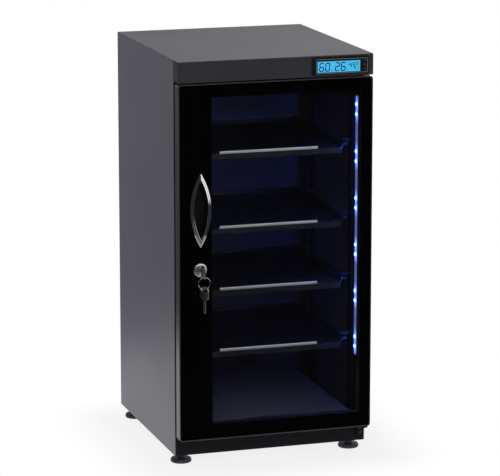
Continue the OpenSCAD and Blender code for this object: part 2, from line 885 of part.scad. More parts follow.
module button(i) {
    collar_y = bezel_in_y + run_gap;
    pressed_y = board_y - switch_t - run_gap;
    color("#3a3a40") {
        button_shaft(i, [front_y - bezel_proud - button_proud, collar_y + collar_t], 0);
        button_shaft(i, [collar_y, collar_y + collar_t], collar_w);
        rod_y(button_h / 2, [button_x, button_z(i)], [collar_y, pressed_y - button_travel]);
    }
}

module set_button() { button(1); }
module up_button() { button(0); }
module down_button() { button(-1); }

// The circuit board behind the display, with one switch behind each button
module control_board() {
    color("#2f6b3a") {
        block(bezel_body_x, [board_y, board_y + board_t], bezel_body_z);
        for (i = [-1 : 1]) button_shaft(i, [board_y - switch_t, board_y], -run_gap);
    }
}

// Drying unit

module dryer_housing() {
    color("#18181c") difference() {
        block([-dryer_w / 2, dryer_w / 2], [dryer_y, back_in_y], dryer_z);
        difference() {
            block(inset([-dryer_w / 2, dryer_w / 2], dryer_wall), [dryer_y + dryer_wall, back_in_y + over],
                inset(dryer_z, dryer_wall));
            on_both() dryer_ledge();
            on_both() flap_ear(inner_pivot_y);
            on_both() flap_ear(outer_pivot_y);
        }
        block([-window_w / 2, window_w / 2], [dryer_y - over, dryer_y + dryer_wall + over], air_z);
        for (y = [inner_pivot_y, outer_pivot_y])
            rod_x(pivot_d / 2 + 2 * pin_gap, [y, pivot_z], about(0, flap_w / 2 + run_gap + ear_t));
    }
}

module dryer_ledge() {
    block([dryer_w / 2 - dryer_wall - heater_ledge, dryer_w / 2], heater_y, [ledge_z - dryer_wall, ledge_z]);
}

// An ear on a side wall of the housing that holds one end of a flap's pivot
module flap_ear(y) {
    block([flap_w / 2 + run_gap, dryer_w / 2], about(y, pivot_d / 2 + run_gap), about(pivot_z, pivot_d));
}

module flap() {
    rod_x(pivot_d, [0, 0], [-flap_w / 2, flap_w / 2]);
    rod_x(pivot_d / 2, [0, 0], about(0, flap_w / 2 + run_gap + ear_t / 2));
    block([-flap_w / 2, flap_w / 2], [-pivot_d / 2, flap_t - pivot_d / 2], [-flap_h, 0]);
}

// The inner flap stands open while the pack dries the cabinet, and the outer flap is closed
module inner_flap() {
    color("#c9c9cc") translate([0, inner_pivot_y, pivot_z]) rotate([flap_swing, 0, 0]) flap();
}

module outer_flap() {
    color("#c9c9cc") translate([0, outer_pivot_y, pivot_z]) mirror([0, 1, 0]) flap();
}

module heater_plate() {
    color("#a9abb0")
        block(about(0, dryer_w / 2 - dryer_wall - run_gap), heater_y, [ledge_z, ledge_z + heater_t]);
}

module drying_pack() {
    z = ledge_z + heater_t;
    color("#e9e4d6")
        block(about(0, dryer_w / 2 - dryer_wall - heater_ledge), inset(heater_y, heater_t), [z, z + pack_h]);
}

// A cover whose slots lie one above the other
module louvred(x, y, z, wall, front) {
    pitch = (z[1] - z[0] - 2 * wall) / louvre_count;
    hollow_y = front ? [y[0] + wall, y[1] + over] : [y[0] - over, y[1] - wall];
    difference() {
        block(x, y, z);
        block(inset(x, wall), hollow_y, inset(z, wall));
        for (i = [0 : louvre_count - 1]) let (at = z[0] + wall + (i + 0.5) * pitch)
            block(inset(x, 2 * wall + louvre_h), inset(y, -over), about(at, louvre_h / 2));
    }
}

module dryer_cover() {
    color("#232328") louvred(
        [-window_w / 2 - vent_lap, window_w / 2 + vent_lap], [dryer_y - cover_d, dryer_y],
        inset(dryer_z, cover_wall), cover_wall, true
    );
}

module rear_vent() {
    x = about(0, window_w / 2 + vent_lap);
    z = inset(air_z, -vent_lap / 2);
    color("#1c1c20") difference() {
        union() {
            louvred(inset(x, vent_lap - cover_wall), [back_y, back_y + vent_proud], z, cover_wall, false);
            difference() {
                block(x, [back_y, back_y + cover_wall], z);
                block(inset(x, vent_lap), [back_y - over, back_y + cover_wall + over], inset(z, cover_wall));
            }
        }
        for (at = vent_screws()) screw_hole(at, [back_y, back_y + cover_wall]);
    }
}

module power_inlet() {
    x = about(-inlet_x, inlet_w / 2);
    z = about(inlet_z, inlet_h / 2);
    color("#141417") {
        difference() {
            union() {
                block(x, [back_y - inlet_d, back_y], z);
                block(inset(x, -inlet_lap), [back_y, back_y + inlet_flange_t], inset(z, -inlet_lap));
            }
            block(inset(x, inlet_wall), [back_y - inlet_d + inlet_wall, back_y + inlet_flange_t + over],
                inset(z, inlet_wall));
        }
        for (x = about(-inlet_x, inlet_pitch / 2))
            rod_y(inlet_pin_d, [x, inlet_z], [back_y - inlet_d, back_y]);
    }
}

// Hinges and screws

function hinge_screws() = [
    for (share = bracket_screw_shares)
        [hinge_x, hinge_plate_z - bracket_t - share * (bracket_leg_h - bracket_t)]
];

module hinge_tongue(z) {
    rod_z(bracket_w, [hinge_x, hinge_y], z);
    block(about(hinge_x, bracket_w / 2), [hinge_y, body_y], z);
}

module hinge_bottom() {
    x = about(hinge_x, bracket_w / 2);
    color("#2a2a30") difference() {
        union() {
            hinge_tongue([hinge_plate_z - bracket_t, hinge_plate_z]);
            block(x, [body_y - bracket_t, body_y], [hinge_plate_z - bracket_leg_h, hinge_plate_z]);
            rod_z(hinge_pin_d, [hinge_x, hinge_y], [hinge_plate_z - bracket_t, door_z + hinge_pin_l]);
        }
        for (at = hinge_screws()) screw_hole(at, [body_y - bracket_t, body_y]);
    }
}

module hinge_top() {
    color("#2a2a30") {
        hinge_tongue(moved([0, bracket_t], header_z + sheet_t));
        rod_z(hinge_pin_d, [hinge_x, hinge_y], [door_top_z - hinge_pin_l, header_z + sheet_t + bracket_t]);
    }
}

module case_screws() {
    color("#b9babf") {
        for (at = back_screws()) screw(at, back_y, 1);
        for (at = vent_screws()) screw(at, back_y + cover_wall, 1);
        for (at = hinge_screws()) screw(at, body_y - bracket_t, -1);
    }
}

// Feet

module foot(x, y) {
    color("#1a1b20") translate([x, y, 0]) {
        cylinder(d = foot_d, h = foot_disc_h);
        cylinder(d = neck_d, h = base_z - run_gap);
        cylinder(d = foot_screw_d, h = base_z + foot_screw_l);
    }
}

module foot_front_left() { foot(-foot_x, foot_y[0]); }
module foot_front_right() { foot(foot_x, foot_y[0]); }
module foot_rear_left() { foot(-foot_x, foot_y[1]); }
module foot_rear_right() { foot(foot_x, foot_y[1]); }

// Door

module door_outline(d) {
    rounded(inset([-side_x, side_x], d), inset([door_z, door_top_z], d), door_corner_r - d);
}

// A channel closed at its back, with a boss for each hinge pin
module door_frame() {
    edge = glass_rim + glass_ledge;
    color("#4d4c55") difference() {
        slab_y([front_y, door_back_y]) door_outline(0);
        slab_y([front_y - over, glass_y]) door_outline(glass_rim);
        difference() {
            slab_y([front_y, skin_y]) door_outline(edge);
            block(inset(window_x, -frame_wall), [front_y, skin_y], inset(window_z, -frame_wall));
            for (z = [[door_z, door_z + boss_h], [door_top_z - boss_h, door_top_z]])
                block([window_x[1], side_x], [front_y, skin_y], z);
        }
        block(window_x, [front_y - over, door_back_y + over], window_z);
        rod_y(lock_barrel_d + 2 * pin_gap, [lock_x, lock_z], [skin_y - over, door_back_y + over]);
        for (z = [[door_z - over, door_z + boss_h], [door_top_z - boss_h, door_top_z + over]])
            rod_z(bush_d + 2 * pin_gap, [hinge_x, hinge_y], z);
    }
}

module door_glass() {
    color([0.05, 0.06, 0.08, 0.5]) slab_y([front_y, glass_y]) difference() {
        door_outline(glass_rim + run_gap);
        translate([handle_x, handle_z]) rim_outline(rim_w / 2 - run_gap);
        translate([lock_x, lock_z]) circle(d = lock_barrel_d + 2 * pin_gap);
    }
}

module seal_ring(d, w, y) {
    slab_y(y) difference() {
        rounded(inset([-side_x, side_x], d), inset([door_z, door_top_z], d), door_corner_r / 2);
        rounded(inset([-side_x, side_x], d + w), inset([door_z, door_top_z], d + w), door_corner_r / 4);
    }
}

module door_seal() {
    color("#0e0e10") {
        seal_ring(seal_inset, seal_w, [door_back_y, door_back_y + seal_foot_h]);
        seal_ring(seal_inset + seal_step, seal_w - 2 * seal_step, [door_back_y, body_y - run_gap]);
    }
}

module bush(z, flange_z) {
    difference() {
        union() {
            rod_z(bush_d, [hinge_x, hinge_y], z);
            rod_z(bush_flange_d, [hinge_x, hinge_y], flange_z);
        }
        rod_z(hinge_pin_d + 2 * pin_gap, [hinge_x, hinge_y], inset(z, -over));
    }
}

module hinge_bushes() {
    color("#ece9df") {
        bush([door_z, door_z + hinge_pin_l], [door_z - bush_flange_t, door_z]);
        bush([door_top_z - hinge_pin_l, door_top_z], [door_top_z, door_top_z + bush_flange_t]);
    }
}

// Outline of the handle, two arcs that meet at its ends, drawn in by a given amount
module rim_outline(d) {
    intersection() {
        translate([rim_arc_x, 0]) circle(r = rim_arc_r - d);
        translate([-rim_arc_x, 0]) circle(r = rim_arc_r - d);
    }
}

// One arc of the rim: a band with two round ridges
module rim_arc() {
    lobe_r = rim_w / 4;
    mid_r = rim_arc_r - rim_w / 2;
    intersection() {
        translate([-rim_arc_x, 0, 0]) rotate([90, 0, 0]) rotate_extrude() {
            translate([mid_r - rim_w / 2, 0]) square([rim_w, rim_proud - lobe_r]);
            for (s = [-1, 1]) translate([mid_r + s * lobe_r, rim_proud - lobe_r]) circle(r = lobe_r);
        }
        block([0, handle_w], [-rim_proud - over, over], handle_l * [-1, 1]);
    }
}

module handle_rim() {
    color("#e4e4e6") translate([handle_x, front_y, handle_z]) on_both() rim_arc();
}

module handle_cup() {
    color("#0b0b0d") translate([handle_x, 0, handle_z]) difference() {
        slab_y([front_y, front_y + cup_depth]) rim_outline(rim_w / 2);
        slab_y([front_y - over, front_y + cup_depth - cup_wall]) rim_outline(rim_w / 2 + cup_wall);
    }
}

// Lock and keys

module lock_housing() {
    at = [lock_x, lock_z];
    color("#c8c8cc") difference() {
        union() {
            rod_y(lock_face_d, at, [front_y - lock_face_t / 2, front_y]);
            translate([lock_x, front_y - lock_face_t / 2, lock_z]) rotate([90, 0, 0]) rotate_extrude()
                face_dome();
            rod_y(lock_barrel_d, at, [front_y, cam_y - run_gap]);
        }
        rod_y(plug_d + 2 * pin_gap, at, [lock_face_y - over, cam_y + over]);
    }
}

// Section of the domed half of the lock face
module face_dome() {
    edge_r = lock_face_t / 2;
    square([lock_face_d / 2 - edge_r, edge_r]);
    intersection() {
        translate([lock_face_d / 2 - edge_r, 0]) circle(r = edge_r);
        square([lock_face_d / 2, edge_r]);
    }
}

module lock_nut() {
    y = [door_back_y, door_back_y + nut_t];
    color("#9fa0a5") difference() {
        translate([lock_x, y[1], lock_z]) rotate([90, 0, 0]) cylinder(d = nut_w / cos(30), h = nut_t, $fn = 6);
        rod_y(lock_barrel_d + 2 * pin_gap, [lock_x, lock_z], inset(y, -over));
    }
}

module square_tail(grow, y) {
    translate([lock_x, y[1], lock_z]) rotate([90, 0, 0])
        cylinder(d = tail_d + 2 * grow, h = y[1] - y[0], $fn = 4);
}

module lock_plug() {
    color("#b4b4b9") {
        difference() {
            rod_y(plug_d, [lock_x, lock_z], [lock_face_y, cam_y]);
            block(
                about(lock_x, blade_t / 2 + run_gap), [lock_face_y - over, lock_face_y + blade_l + run_gap],
                about(lock_z, blade_w / 2 + run_gap)
            );
        }
        square_tail(0, [cam_y, cam_y + cam_t]);
    }
}

// The cam hangs down while the door is unlocked, and its screw holds it on the plug
module lock_cam() {
    drop = cam_l - cam_w / 2;
    color("#8f9096") {
        difference() {
            slab_y([cam_y, cam_y + cam_t]) {
                translate([lock_x, lock_z]) circle(d = cam_w);
                translate([lock_x - cam_w / 2, lock_z - drop]) square([cam_w, drop]);
                translate([lock_x, lock_z - drop]) circle(d = cam_w);
            }
            square_tail(pin_gap, inset([cam_y, cam_y + cam_t], -over));
        }
        rod_y(cam_screw_d, [lock_x, lock_z], moved([0, head_h], cam_y + cam_t));
    }
}

// A key drawn along X from its shoulder: the blade to the right and the head to the left
module key_shape() {
    end = -shank_l - bow_l;
    difference() {
        rounded([end, -shank_l], about(0, bow_w / 2), bow_r);
        translate([end + bow_slot_end, 0]) {
            square([bow_slot_w, bow_slot_l - bow_slot_w], center = true);
            for (y = about(0, (bow_slot_l - bow_slot_w) / 2)) translate([0, y]) circle(d = bow_slot_w);
        }
    }
    translate([-shank_l, -blade_w / 2]) square([shank_l, blade_w]);
}

// The blade, with cuts along one edge
module blade_shape() {
    difference() {
        translate([0, -blade_w / 2]) square([blade_l - blade_w / 2, blade_w]);
        for (cut = blade_cut_shares)
            translate([cut[0] * blade_l, blade_w / 2]) circle(r = cut[1] * blade_w, $fn = 4);
    }
    intersection() {
        translate([blade_l - blade_w / 2, 0]) circle(d = blade_w);
        translate([0, -blade_w / 2]) square([blade_l, blade_w]);
    }
}

module key_solid() {
    slab_x(about(0, bow_t / 2)) key_shape();
    slab_x(about(0, blade_t / 2)) blade_shape();
}

module key() {
    color("#8b8b90") translate([lock_x, lock_face_y, lock_z]) key_solid();
}

module key_ring() {
    color("#cfcfd4") translate([lock_x, ring_y, ring_z]) rotate([90, 0, 0])
        rotate_extrude() translate([ring_r, 0]) circle(d = ring_wire_d);
}

// The spare key hangs from the ring with its head up
module spare_key() {
    color("#b9b39b") translate([lock_x, ring_y, spare_slot_z]) rotate([0, 0, spare_turn])
        rotate([-90, 0, 0]) translate([0, shank_l + bow_l - bow_slot_end, 0]) key_solid();
}

left_side();
right_side();
top_panel();
back_panel();
base_plate();
floor_pan();
header_fascia();
header_floor();
base_rail();
jamb_left();
jamb_right();
posts_left();
posts_right();
runners_left();
runners_right();
floor_pad();
lamp_strip();
lamps();
display_bezel();
display_screen();
control_board();
set_button();
up_button();
down_button();
power_inlet();
dryer_housing();
dryer_cover();
inner_flap();
outer_flap();
heater_plate();
drying_pack();
rear_vent();
hinge_top();
hinge_bottom();
case_screws();
foot_front_left();
foot_front_right();
foot_rear_left();
foot_rear_right();
door_frame();
door_glass();
door_seal();
hinge_bushes();
handle_rim();
handle_cup();
lock_housing();
lock_nut();
lock_plug();
lock_cam();
key();
key_ring();
spare_key();
shelf_1();
shelf_2();
shelf_3();
shelf_4();
shelf_trim_1();
shelf_trim_2();
shelf_trim_3();
shelf_trim_4();
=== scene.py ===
"""Looks for a camera dry cabinet: a Blender add-on that is run as a script.

Lengths are in metres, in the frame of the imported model: X to the right, Y to the back, Z up.
"""
import json
import math

import bmesh
import bpy
import numpy as np
from bpy.props import FloatProperty, FloatVectorProperty, IntProperty, PointerProperty, StringProperty
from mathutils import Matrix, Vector


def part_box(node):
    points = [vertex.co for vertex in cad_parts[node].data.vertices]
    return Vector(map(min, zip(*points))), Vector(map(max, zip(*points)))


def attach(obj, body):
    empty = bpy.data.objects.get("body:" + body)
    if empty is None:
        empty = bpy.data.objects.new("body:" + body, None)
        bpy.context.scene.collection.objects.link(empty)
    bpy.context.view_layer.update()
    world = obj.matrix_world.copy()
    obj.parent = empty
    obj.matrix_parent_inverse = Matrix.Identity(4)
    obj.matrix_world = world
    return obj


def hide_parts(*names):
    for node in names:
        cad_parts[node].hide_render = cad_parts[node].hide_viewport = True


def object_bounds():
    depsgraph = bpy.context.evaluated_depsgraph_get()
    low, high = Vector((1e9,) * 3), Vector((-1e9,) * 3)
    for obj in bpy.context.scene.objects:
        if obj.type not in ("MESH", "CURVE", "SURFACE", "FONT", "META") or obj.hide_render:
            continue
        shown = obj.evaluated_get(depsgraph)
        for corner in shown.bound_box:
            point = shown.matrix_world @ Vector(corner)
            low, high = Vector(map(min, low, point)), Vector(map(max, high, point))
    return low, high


bl_info = {
    "name": "Dry cabinet looks",
    "version": (1, 0, 0),
    "blender": (4, 5, 0),
    "location": "View3D > Sidebar > Cabinet",
    "description": "Dresses a camera dry cabinet with its surfaces, lamps, display and small parts",
    "category": "Object",
}

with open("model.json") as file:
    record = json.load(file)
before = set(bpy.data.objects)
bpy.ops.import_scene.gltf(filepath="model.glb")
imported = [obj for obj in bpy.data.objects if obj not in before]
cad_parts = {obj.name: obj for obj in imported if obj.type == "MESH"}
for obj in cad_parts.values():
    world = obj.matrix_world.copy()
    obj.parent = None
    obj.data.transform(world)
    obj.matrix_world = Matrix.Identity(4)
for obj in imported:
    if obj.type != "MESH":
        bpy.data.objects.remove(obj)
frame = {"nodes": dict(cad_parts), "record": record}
cad_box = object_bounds()

MM = 0.001
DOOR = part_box("door_frame")
FRONT = DOOR[0].y
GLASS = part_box("door_glass")
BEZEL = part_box("display_bezel")
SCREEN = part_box("display_screen")
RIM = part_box("handle_rim")
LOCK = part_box("lock_housing")
SAME_POINT = 1e-7    # points of a new mesh that are nearer than this are one
SAME_CORNER = 2e-6   # the same for a CAD node, whose triangles come apart
FLAT = 0.3           # degrees between triangles of one flat face
UPRIGHT = (math.pi / 2, 0, 0)
CLOTH_FRAMES = 14
CAMERA_PLACE = (-1.6979, FRONT - 5.1807, 1.624)
CAMERA_TURN = (77.96, 0.0, -17.60)
FLOOR_REACH = 0.8
FLOOR_FRONT = 0.14   # the floor ends so near the door that the glass doesn't mirror it


# Sizes and colours that a user may change

def length(name, text, value):
    """A length in metres, shown in the units of the scene."""
    return FloatProperty(name=name, description=text, default=value, min=0.0, unit="LENGTH", precision=4)


def number(name, text, value, least=0.0):
    """A plain number."""
    return FloatProperty(name=name, description=text, default=value, min=least)


def count(name, text, value, least):
    """A whole number."""
    return IntProperty(name=name, description=text, default=value, min=least)


def tint(name, text, value):
    """A colour, given as it looks on a screen."""
    linear = tuple(((v / 255 + 0.055) / 1.055) ** 2.4 if v > 10 else v / 255 / 12.92 for v in value)
    return FloatVectorProperty(
        name=name, description=text, default=linear, min=0.0, max=1.0, size=3, subtype="COLOR"
    )


class CasePaint(bpy.types.PropertyGroup):
    """Paint of the cabinet. The sides, top and header are one black paint, each coloured as light falls on
    its face: painted light, strongest on the top and sides and least on the header.
    """
    side: tint("Sides", "Colour of the side and back sheets", (95, 94, 106))
    top: tint("Top", "Colour of the top sheet", (100, 99, 108))
    header: tint("Header", "Colour of the header over the door", (41, 41, 49))
    base: tint("Base", "Colour of the strip under the door and of the front frame", (20, 20, 27))
    inside: tint("Inside", "Colour of the floor, posts and runners", (20, 20, 24))
    edge: length("Edge radius", "Radius of the folded sheet edges", 0.55 * MM)


class DoorLooks(bpy.types.PropertyGroup):
    """Glass, border and frame of the door."""
    border: tint("Border", "Colour of the print round the window", (4, 4, 6))
    frame: tint("Frame", "Colour of the door's edge profile", (72, 71, 77))
    left: length("Left border", "Width of the print on the handle side", 68 * MM)
    right: length("Right border", "Width of the print on the hinge side", 23 * MM)
    top: length("Top border", "Width of the print above the window", 27 * MM)
    bottom: length("Bottom border", "Width of the print below the window", 31 * MM)
    corner: length("Window corner", "Corner radius of the clear window", 3 * MM)
    film: length("Film", "Thickness of the print", 0.12 * MM)


class HandleLooks(bpy.types.PropertyGroup):
    """The polished rim of the handle."""
    width: length("Rim width", "Width of the polished rim", 7.5 * MM)
    stations: count("Stations", "Sections along each arc", 96, 8)


class KeyLooks(bpy.types.PropertyGroup):
    """Keys, key ring and lock face."""
    wire: length("Ring wire", "Thickness of the split ring's wire", 0.9 * MM)
    metal: tint("Key metal", "Colour of the key plate", (150, 148, 144))
    cut_edge: length("Key edge", "Radius of the key's edges", 0.25 * MM)


class DisplayLooks(bpy.types.PropertyGroup):
    """Lit screen and its figures."""
    humidity: StringProperty(name="Humidity", description="Figures on the left of the screen", default="60")
    warmth: StringProperty(name="Temperature", description="Figures in the middle", default="26")
    setting: StringProperty(name="Setting", description="Small figures on the right", default="45")
    light: tint("Screen", "Colour of the lit screen", (58, 178, 228))
    ink: tint("Figures", "Colour of the figures", (2, 24, 44))
    figure: length("Figure height", "Height of the large figures", 15.5 * MM)
    stroke: length("Stroke", "Width of the figures' strokes", 2.2 * MM)


class LampLooks(bpy.types.PropertyGroup):
    """Lamps on the right front post."""
    light: tint("Lamp light", "Colour of the lamps' light", (54, 100, 255))
    strength: number("Strength", "Brightness of the lamp faces", 400.0)
    # Painted glow: the strip board's emission colour and strength, standing in for the lamps' light on the
    # board
    coat: tint("Strip painted glow", "Colour of the light in the strip's clear coat", (130, 150, 255))
    coat_strength: number("Strip painted glow strength", "Brightness of the strip", 1.3)
    pitch: length("Pair spacing", "Spacing of the lamp pairs", 95 * MM)
    gap: length("Lamp spacing", "Spacing of the two lamps in a pair", 20 * MM)
    pairs: count("Pairs", "Number of lamp pairs", 6, 1)


class PadLooks(bpy.types.PropertyGroup):
    """Foam pad on the cabinet floor."""
    color: tint("Foam", "Colour of the foam", (70, 74, 84))
    grid: length("Cloth grid", "Size of the cloth's faces", 6 * MM)
    swell: length("Largest swell", "How far the foam may bulge", 1.2 * MM)


class FastenerLooks(bpy.types.PropertyGroup):
    """Screws and the ribs of the feet."""
    head: length("Screw head", "Diameter of the screw heads", 7 * MM)
    rise: length("Head height", "Height of the screw heads", 2 * MM)
    cross: length("Recess", "Width of the cross recess", 3.6 * MM)
    ribs: count("Foot ribs", "Number of grip ribs round each foot", 36, 3)


class StageLooks(bpy.types.PropertyGroup):
    """Camera, lights and floor."""
    lens: number("Lens", "Focal length in millimetres", 203.5, 10.0)
    floor: tint("Floor", "Colour of the floor", (246, 246, 248))
    ambient: number("Room light", "Brightness of the room", 0.45)
    inside: number("Light inside", "Room light behind the glass", 2.2)
    dark: number("Dark side", "Brightness of the dark room in gloss", 0.02)
    rear: number("Rear light", "Brightness of the rear wall in gloss", 0.4)
    key_power: number("Key lamp", "Power of the large lamp in watts", 22.0)
    fill_power: number("Side fill", "Power of the side lamp", 4.0)
    shadow: number("White floor", "Share of plain white under the part", 0.8)


class CabinetLooks(bpy.types.PropertyGroup):
    """Everything that a user may change."""
    case: PointerProperty(type=CasePaint)
    door: PointerProperty(type=DoorLooks)
    handle: PointerProperty(type=HandleLooks)
    keys: PointerProperty(type=KeyLooks)
    display: PointerProperty(type=DisplayLooks)
    lamps: PointerProperty(type=LampLooks)
    pad: PointerProperty(type=PadLooks)
    fasteners: PointerProperty(type=FastenerLooks)
    stage: PointerProperty(type=StageLooks)


def looks():
    """The values set in the sidebar."""
    return bpy.context.scene.cabinet_looks


# Node trees

def set_inputs(tree, node, inputs):
    """Fills or links a node's inputs."""
    for key, value in inputs.items():
        if isinstance(value, bpy.types.NodeSocket):
            tree.links.new(value, node.inputs[key])
        else:
            node.inputs[key].default_value = value


def put(tree, kind, inputs=None, **settings):
    """Adds a node, sets its options, and fills or links its inputs."""
    node = tree.nodes.new(kind)
    for key, value in settings.items():
        setattr(node, key, value)
    set_inputs(tree, node, inputs or {})
    return node


def socket_kind(value):
    """The kind of socket that a default value needs. A kind's own name stands for itself."""
    if isinstance(value, str):
        return value
    if isinstance(value, tuple):
        return "Vector" if len(value) == 3 else "Color"
    return "Int" if isinstance(value, int) else "Float"


def new_group(name, kind, inputs, outputs):
    """An empty node group with its two end nodes. Each socket is given by its default or its kind."""
    tree = bpy.data.node_groups.new(name, kind)
    for side, sockets in (("INPUT", inputs), ("OUTPUT", outputs)):
        for label, value in sockets.items():
            kind = "NodeSocket" + socket_kind(value)
            made = tree.interface.new_socket(label, in_out=side, socket_type=kind)
            if not isinstance(value, str):
                made.default_value = value
    return tree, tree.nodes.new("NodeGroupInput").outputs, tree.nodes.new("NodeGroupOutput").inputs


def math_node(tree, operation, a, b=0.0, c=0.0):
    """One sum of two or three numbers."""
    return put(tree, "ShaderNodeMath", {0: a, 1: b, 2: c}, operation=operation).outputs[0]


def times(tree, value, factor):
    """A number times another."""
    return math_node(tree, "MULTIPLY", value, factor)


def vector_node(tree, operation, a, b=(0, 0, 0)):
    """One sum of vectors."""
    return put(tree, "ShaderNodeVectorMath", {0: a, 1: b}, operation=operation).outputs


def object_place(tree, stretch=None):
    """A point's place on its object, stretched where a stretch is given."""
    place = put(tree, "ShaderNodeTexCoord").outputs["Object"]
    return place if stretch is None else vector_node(tree, "MULTIPLY", place, stretch)[0]


def noise_node(tree, place, scale, detail):
    """Noise from 0 to 1."""
    return put(tree, "ShaderNodeTexNoise", {"Vector": place, "Scale": scale, "Detail": detail}).outputs[0]


def ranged(tree, value, low, high, least=0.0, most=1.0, kind="SMOOTHSTEP"):
    """A number brought from one range into another."""
    values = {"Value": value, "From Min": low, "From Max": high, "To Min": least, "To Max": most}
    return put(tree, "ShaderNodeMapRange", values, interpolation_type=kind).outputs[0]


def mix_node(tree, factor, a, b, kind="FLOAT"):
    """A mix of two numbers or of two colours."""
    first, out = {"FLOAT": (2, 0), "RGBA": (6, 2)}[kind]
    return put(tree, "ShaderNodeMix", {"Factor": factor, first: a, first + 1: b}, data_type=kind).outputs[out]


# Shared surface effects

def mottle_group():
    """Slow changes of colour and roughness over a surface."""
    tree, given, out = new_group("Mottle", "ShaderNodeTree", {
        "Color": (0.5, 0.5, 0.5, 1), "Color spread": 0.1, "Roughness": 0.5, "Roughness spread": 0.1,
        "Scale": 20.0, "Stretch": (1, 1, 1),
    }, {"Color": "Color", "Roughness": "Float"})
    noise = noise_node(tree, object_place(tree, given["Stretch"]), given["Scale"], 4.0)
    swing = math_node(tree, "MULTIPLY_ADD", noise, 4.0, -2.0)
    bright = math_node(tree, "MULTIPLY_ADD", swing, given["Color spread"], 1.0)
    scaled = {0: given["Color"], "Scale": bright}
    shade = put(tree, "ShaderNodeVectorMath", scaled, operation="SCALE").outputs[0]
    rough = math_node(tree, "MULTIPLY_ADD", swing, given["Roughness spread"], given["Roughness"])
    tree.links.new(shade, out["Color"])
    tree.links.new(math_node(tree, "MAXIMUM", rough, 0.0), out["Roughness"])
    return tree


def grain_group():
    """Fine relief, such as the orange peel of paint, brushing or moulded texture."""
    tree, given, out = new_group("Grain", "ShaderNodeTree", {
        "Scale": 800.0, "Stretch": (1, 1, 1), "Coarse": 0.3, "Pores": 0.0,
    }, {"Height": "Float"})
    place = object_place(tree, given["Stretch"])
    fine = noise_node(tree, place, given["Scale"], 2.0)
    slow = noise_node(tree, place, times(tree, given["Scale"], 0.13), 1.0)
    cells = put(tree, "ShaderNodeTexVoronoi", {"Vector": place, "Scale": given["Scale"]}).outputs["Distance"]
    height = math_node(tree, "MULTIPLY_ADD", slow, given["Coarse"], fine)
    tree.links.new(math_node(tree, "MULTIPLY_ADD", cells, given["Pores"], height), out["Height"])
    return tree


def edge_wear_group():
    """Lighter, smoother patches where a surface is handled."""
    tree, given, out = new_group("Handling wear", "ShaderNodeTree", {
        "Color": (0.5, 0.5, 0.5, 1), "Worn color": (0.7, 0.7, 0.7, 1), "Amount": 0.2, "Scale": 300.0,
    }, {"Color": "Color"})
    noise = noise_node(tree, object_place(tree), given["Scale"], 6.0)
    patch = ranged(tree, noise, math_node(tree, "SUBTRACT", 0.72, given["Amount"]), 0.78, kind="LINEAR")
    tree.links.new(mix_node(tree, patch, given["Color"], given["Worn color"], "RGBA"), out["Color"])
    return tree


def lamp_glow_group():
    """How near a point of the strip is to a lamp, from 0 to 1: the mask of the glow painted on the strip."""
    tree, given, out = new_group("Lamp glow", "ShaderNodeTree", {
        "First pair": 0.7, "Pair spacing": 0.095, "Lamp spacing": 0.02, "Reach": 0.022, "Least": 0.22,
    }, {"Glow": "Float"})
    height = put(tree, "ShaderNodeSeparateXYZ", {0: object_place(tree)}).outputs["Z"]
    drop = math_node(tree, "SUBTRACT", height, given["First pair"])
    pair = math_node(tree, "PINGPONG", drop, times(tree, given["Pair spacing"], 0.5))
    away = math_node(tree, "SUBTRACT", pair, times(tree, given["Lamp spacing"], 0.5))
    away = math_node(tree, "ABSOLUTE", away)
    tree.links.new(ranged(tree, away, 0.0, given["Reach"], 1.0, given["Least"], "SMOOTHERSTEP"), out["Glow"])
    return tree


GROUPS = {}


def effect(tree, maker, values):
    """The outputs of a shared effect. Its group is built the first time that it is used."""
    if maker not in GROUPS:
        GROUPS[maker] = maker()
    return put(tree, "ShaderNodeGroup", values, node_tree=GROUPS[maker]).outputs


# Materials

def new_material(name):
    """A new material, its tree and its shader."""
    made = bpy.data.materials.new(name)
    made.use_nodes = True
    return made, made.node_tree, made.node_tree.nodes["Principled BSDF"]


def surface(
    name, color, rough, metallic=0.0, spread=0.06, rough_spread=0.04, slow=14.0, grain=900.0, depth=0.02,
    stretch=(1, 1, 1), coarse=0.3, pores=0.0, worn=None, wear=0.12, wear_scale=300.0, **sockets
):
    """A procedural material: slow colour changes, fine relief, and the shader's own constants.

    depth is the height of the relief in millimetres.
    """
    made, tree, shader = new_material(name)
    mottle = effect(tree, mottle_group, {
        "Color": (*color, 1), "Color spread": spread, "Roughness": rough, "Roughness spread": rough_spread,
        "Scale": slow, "Stretch": stretch,
    })
    color_out = mottle["Color"]
    if worn is not None:
        color_out = effect(tree, edge_wear_group, {
            "Color": color_out, "Worn color": (*worn, 1), "Amount": wear, "Scale": wear_scale,
        })["Color"]
    relief = effect(tree, grain_group, {"Scale": grain, "Stretch": stretch, "Coarse": coarse, "Pores": pores})
    bump = put(tree, "ShaderNodeBump", {"Height": relief["Height"], "Strength": 1.0, "Distance": depth * MM})
    set_inputs(tree, shader, {
        "Base Color": color_out, "Roughness": mottle["Roughness"], "Normal": bump.outputs["Normal"],
        "Metallic": metallic, **{key.replace("_", " "): value for key, value in sockets.items()},
    })
    return made


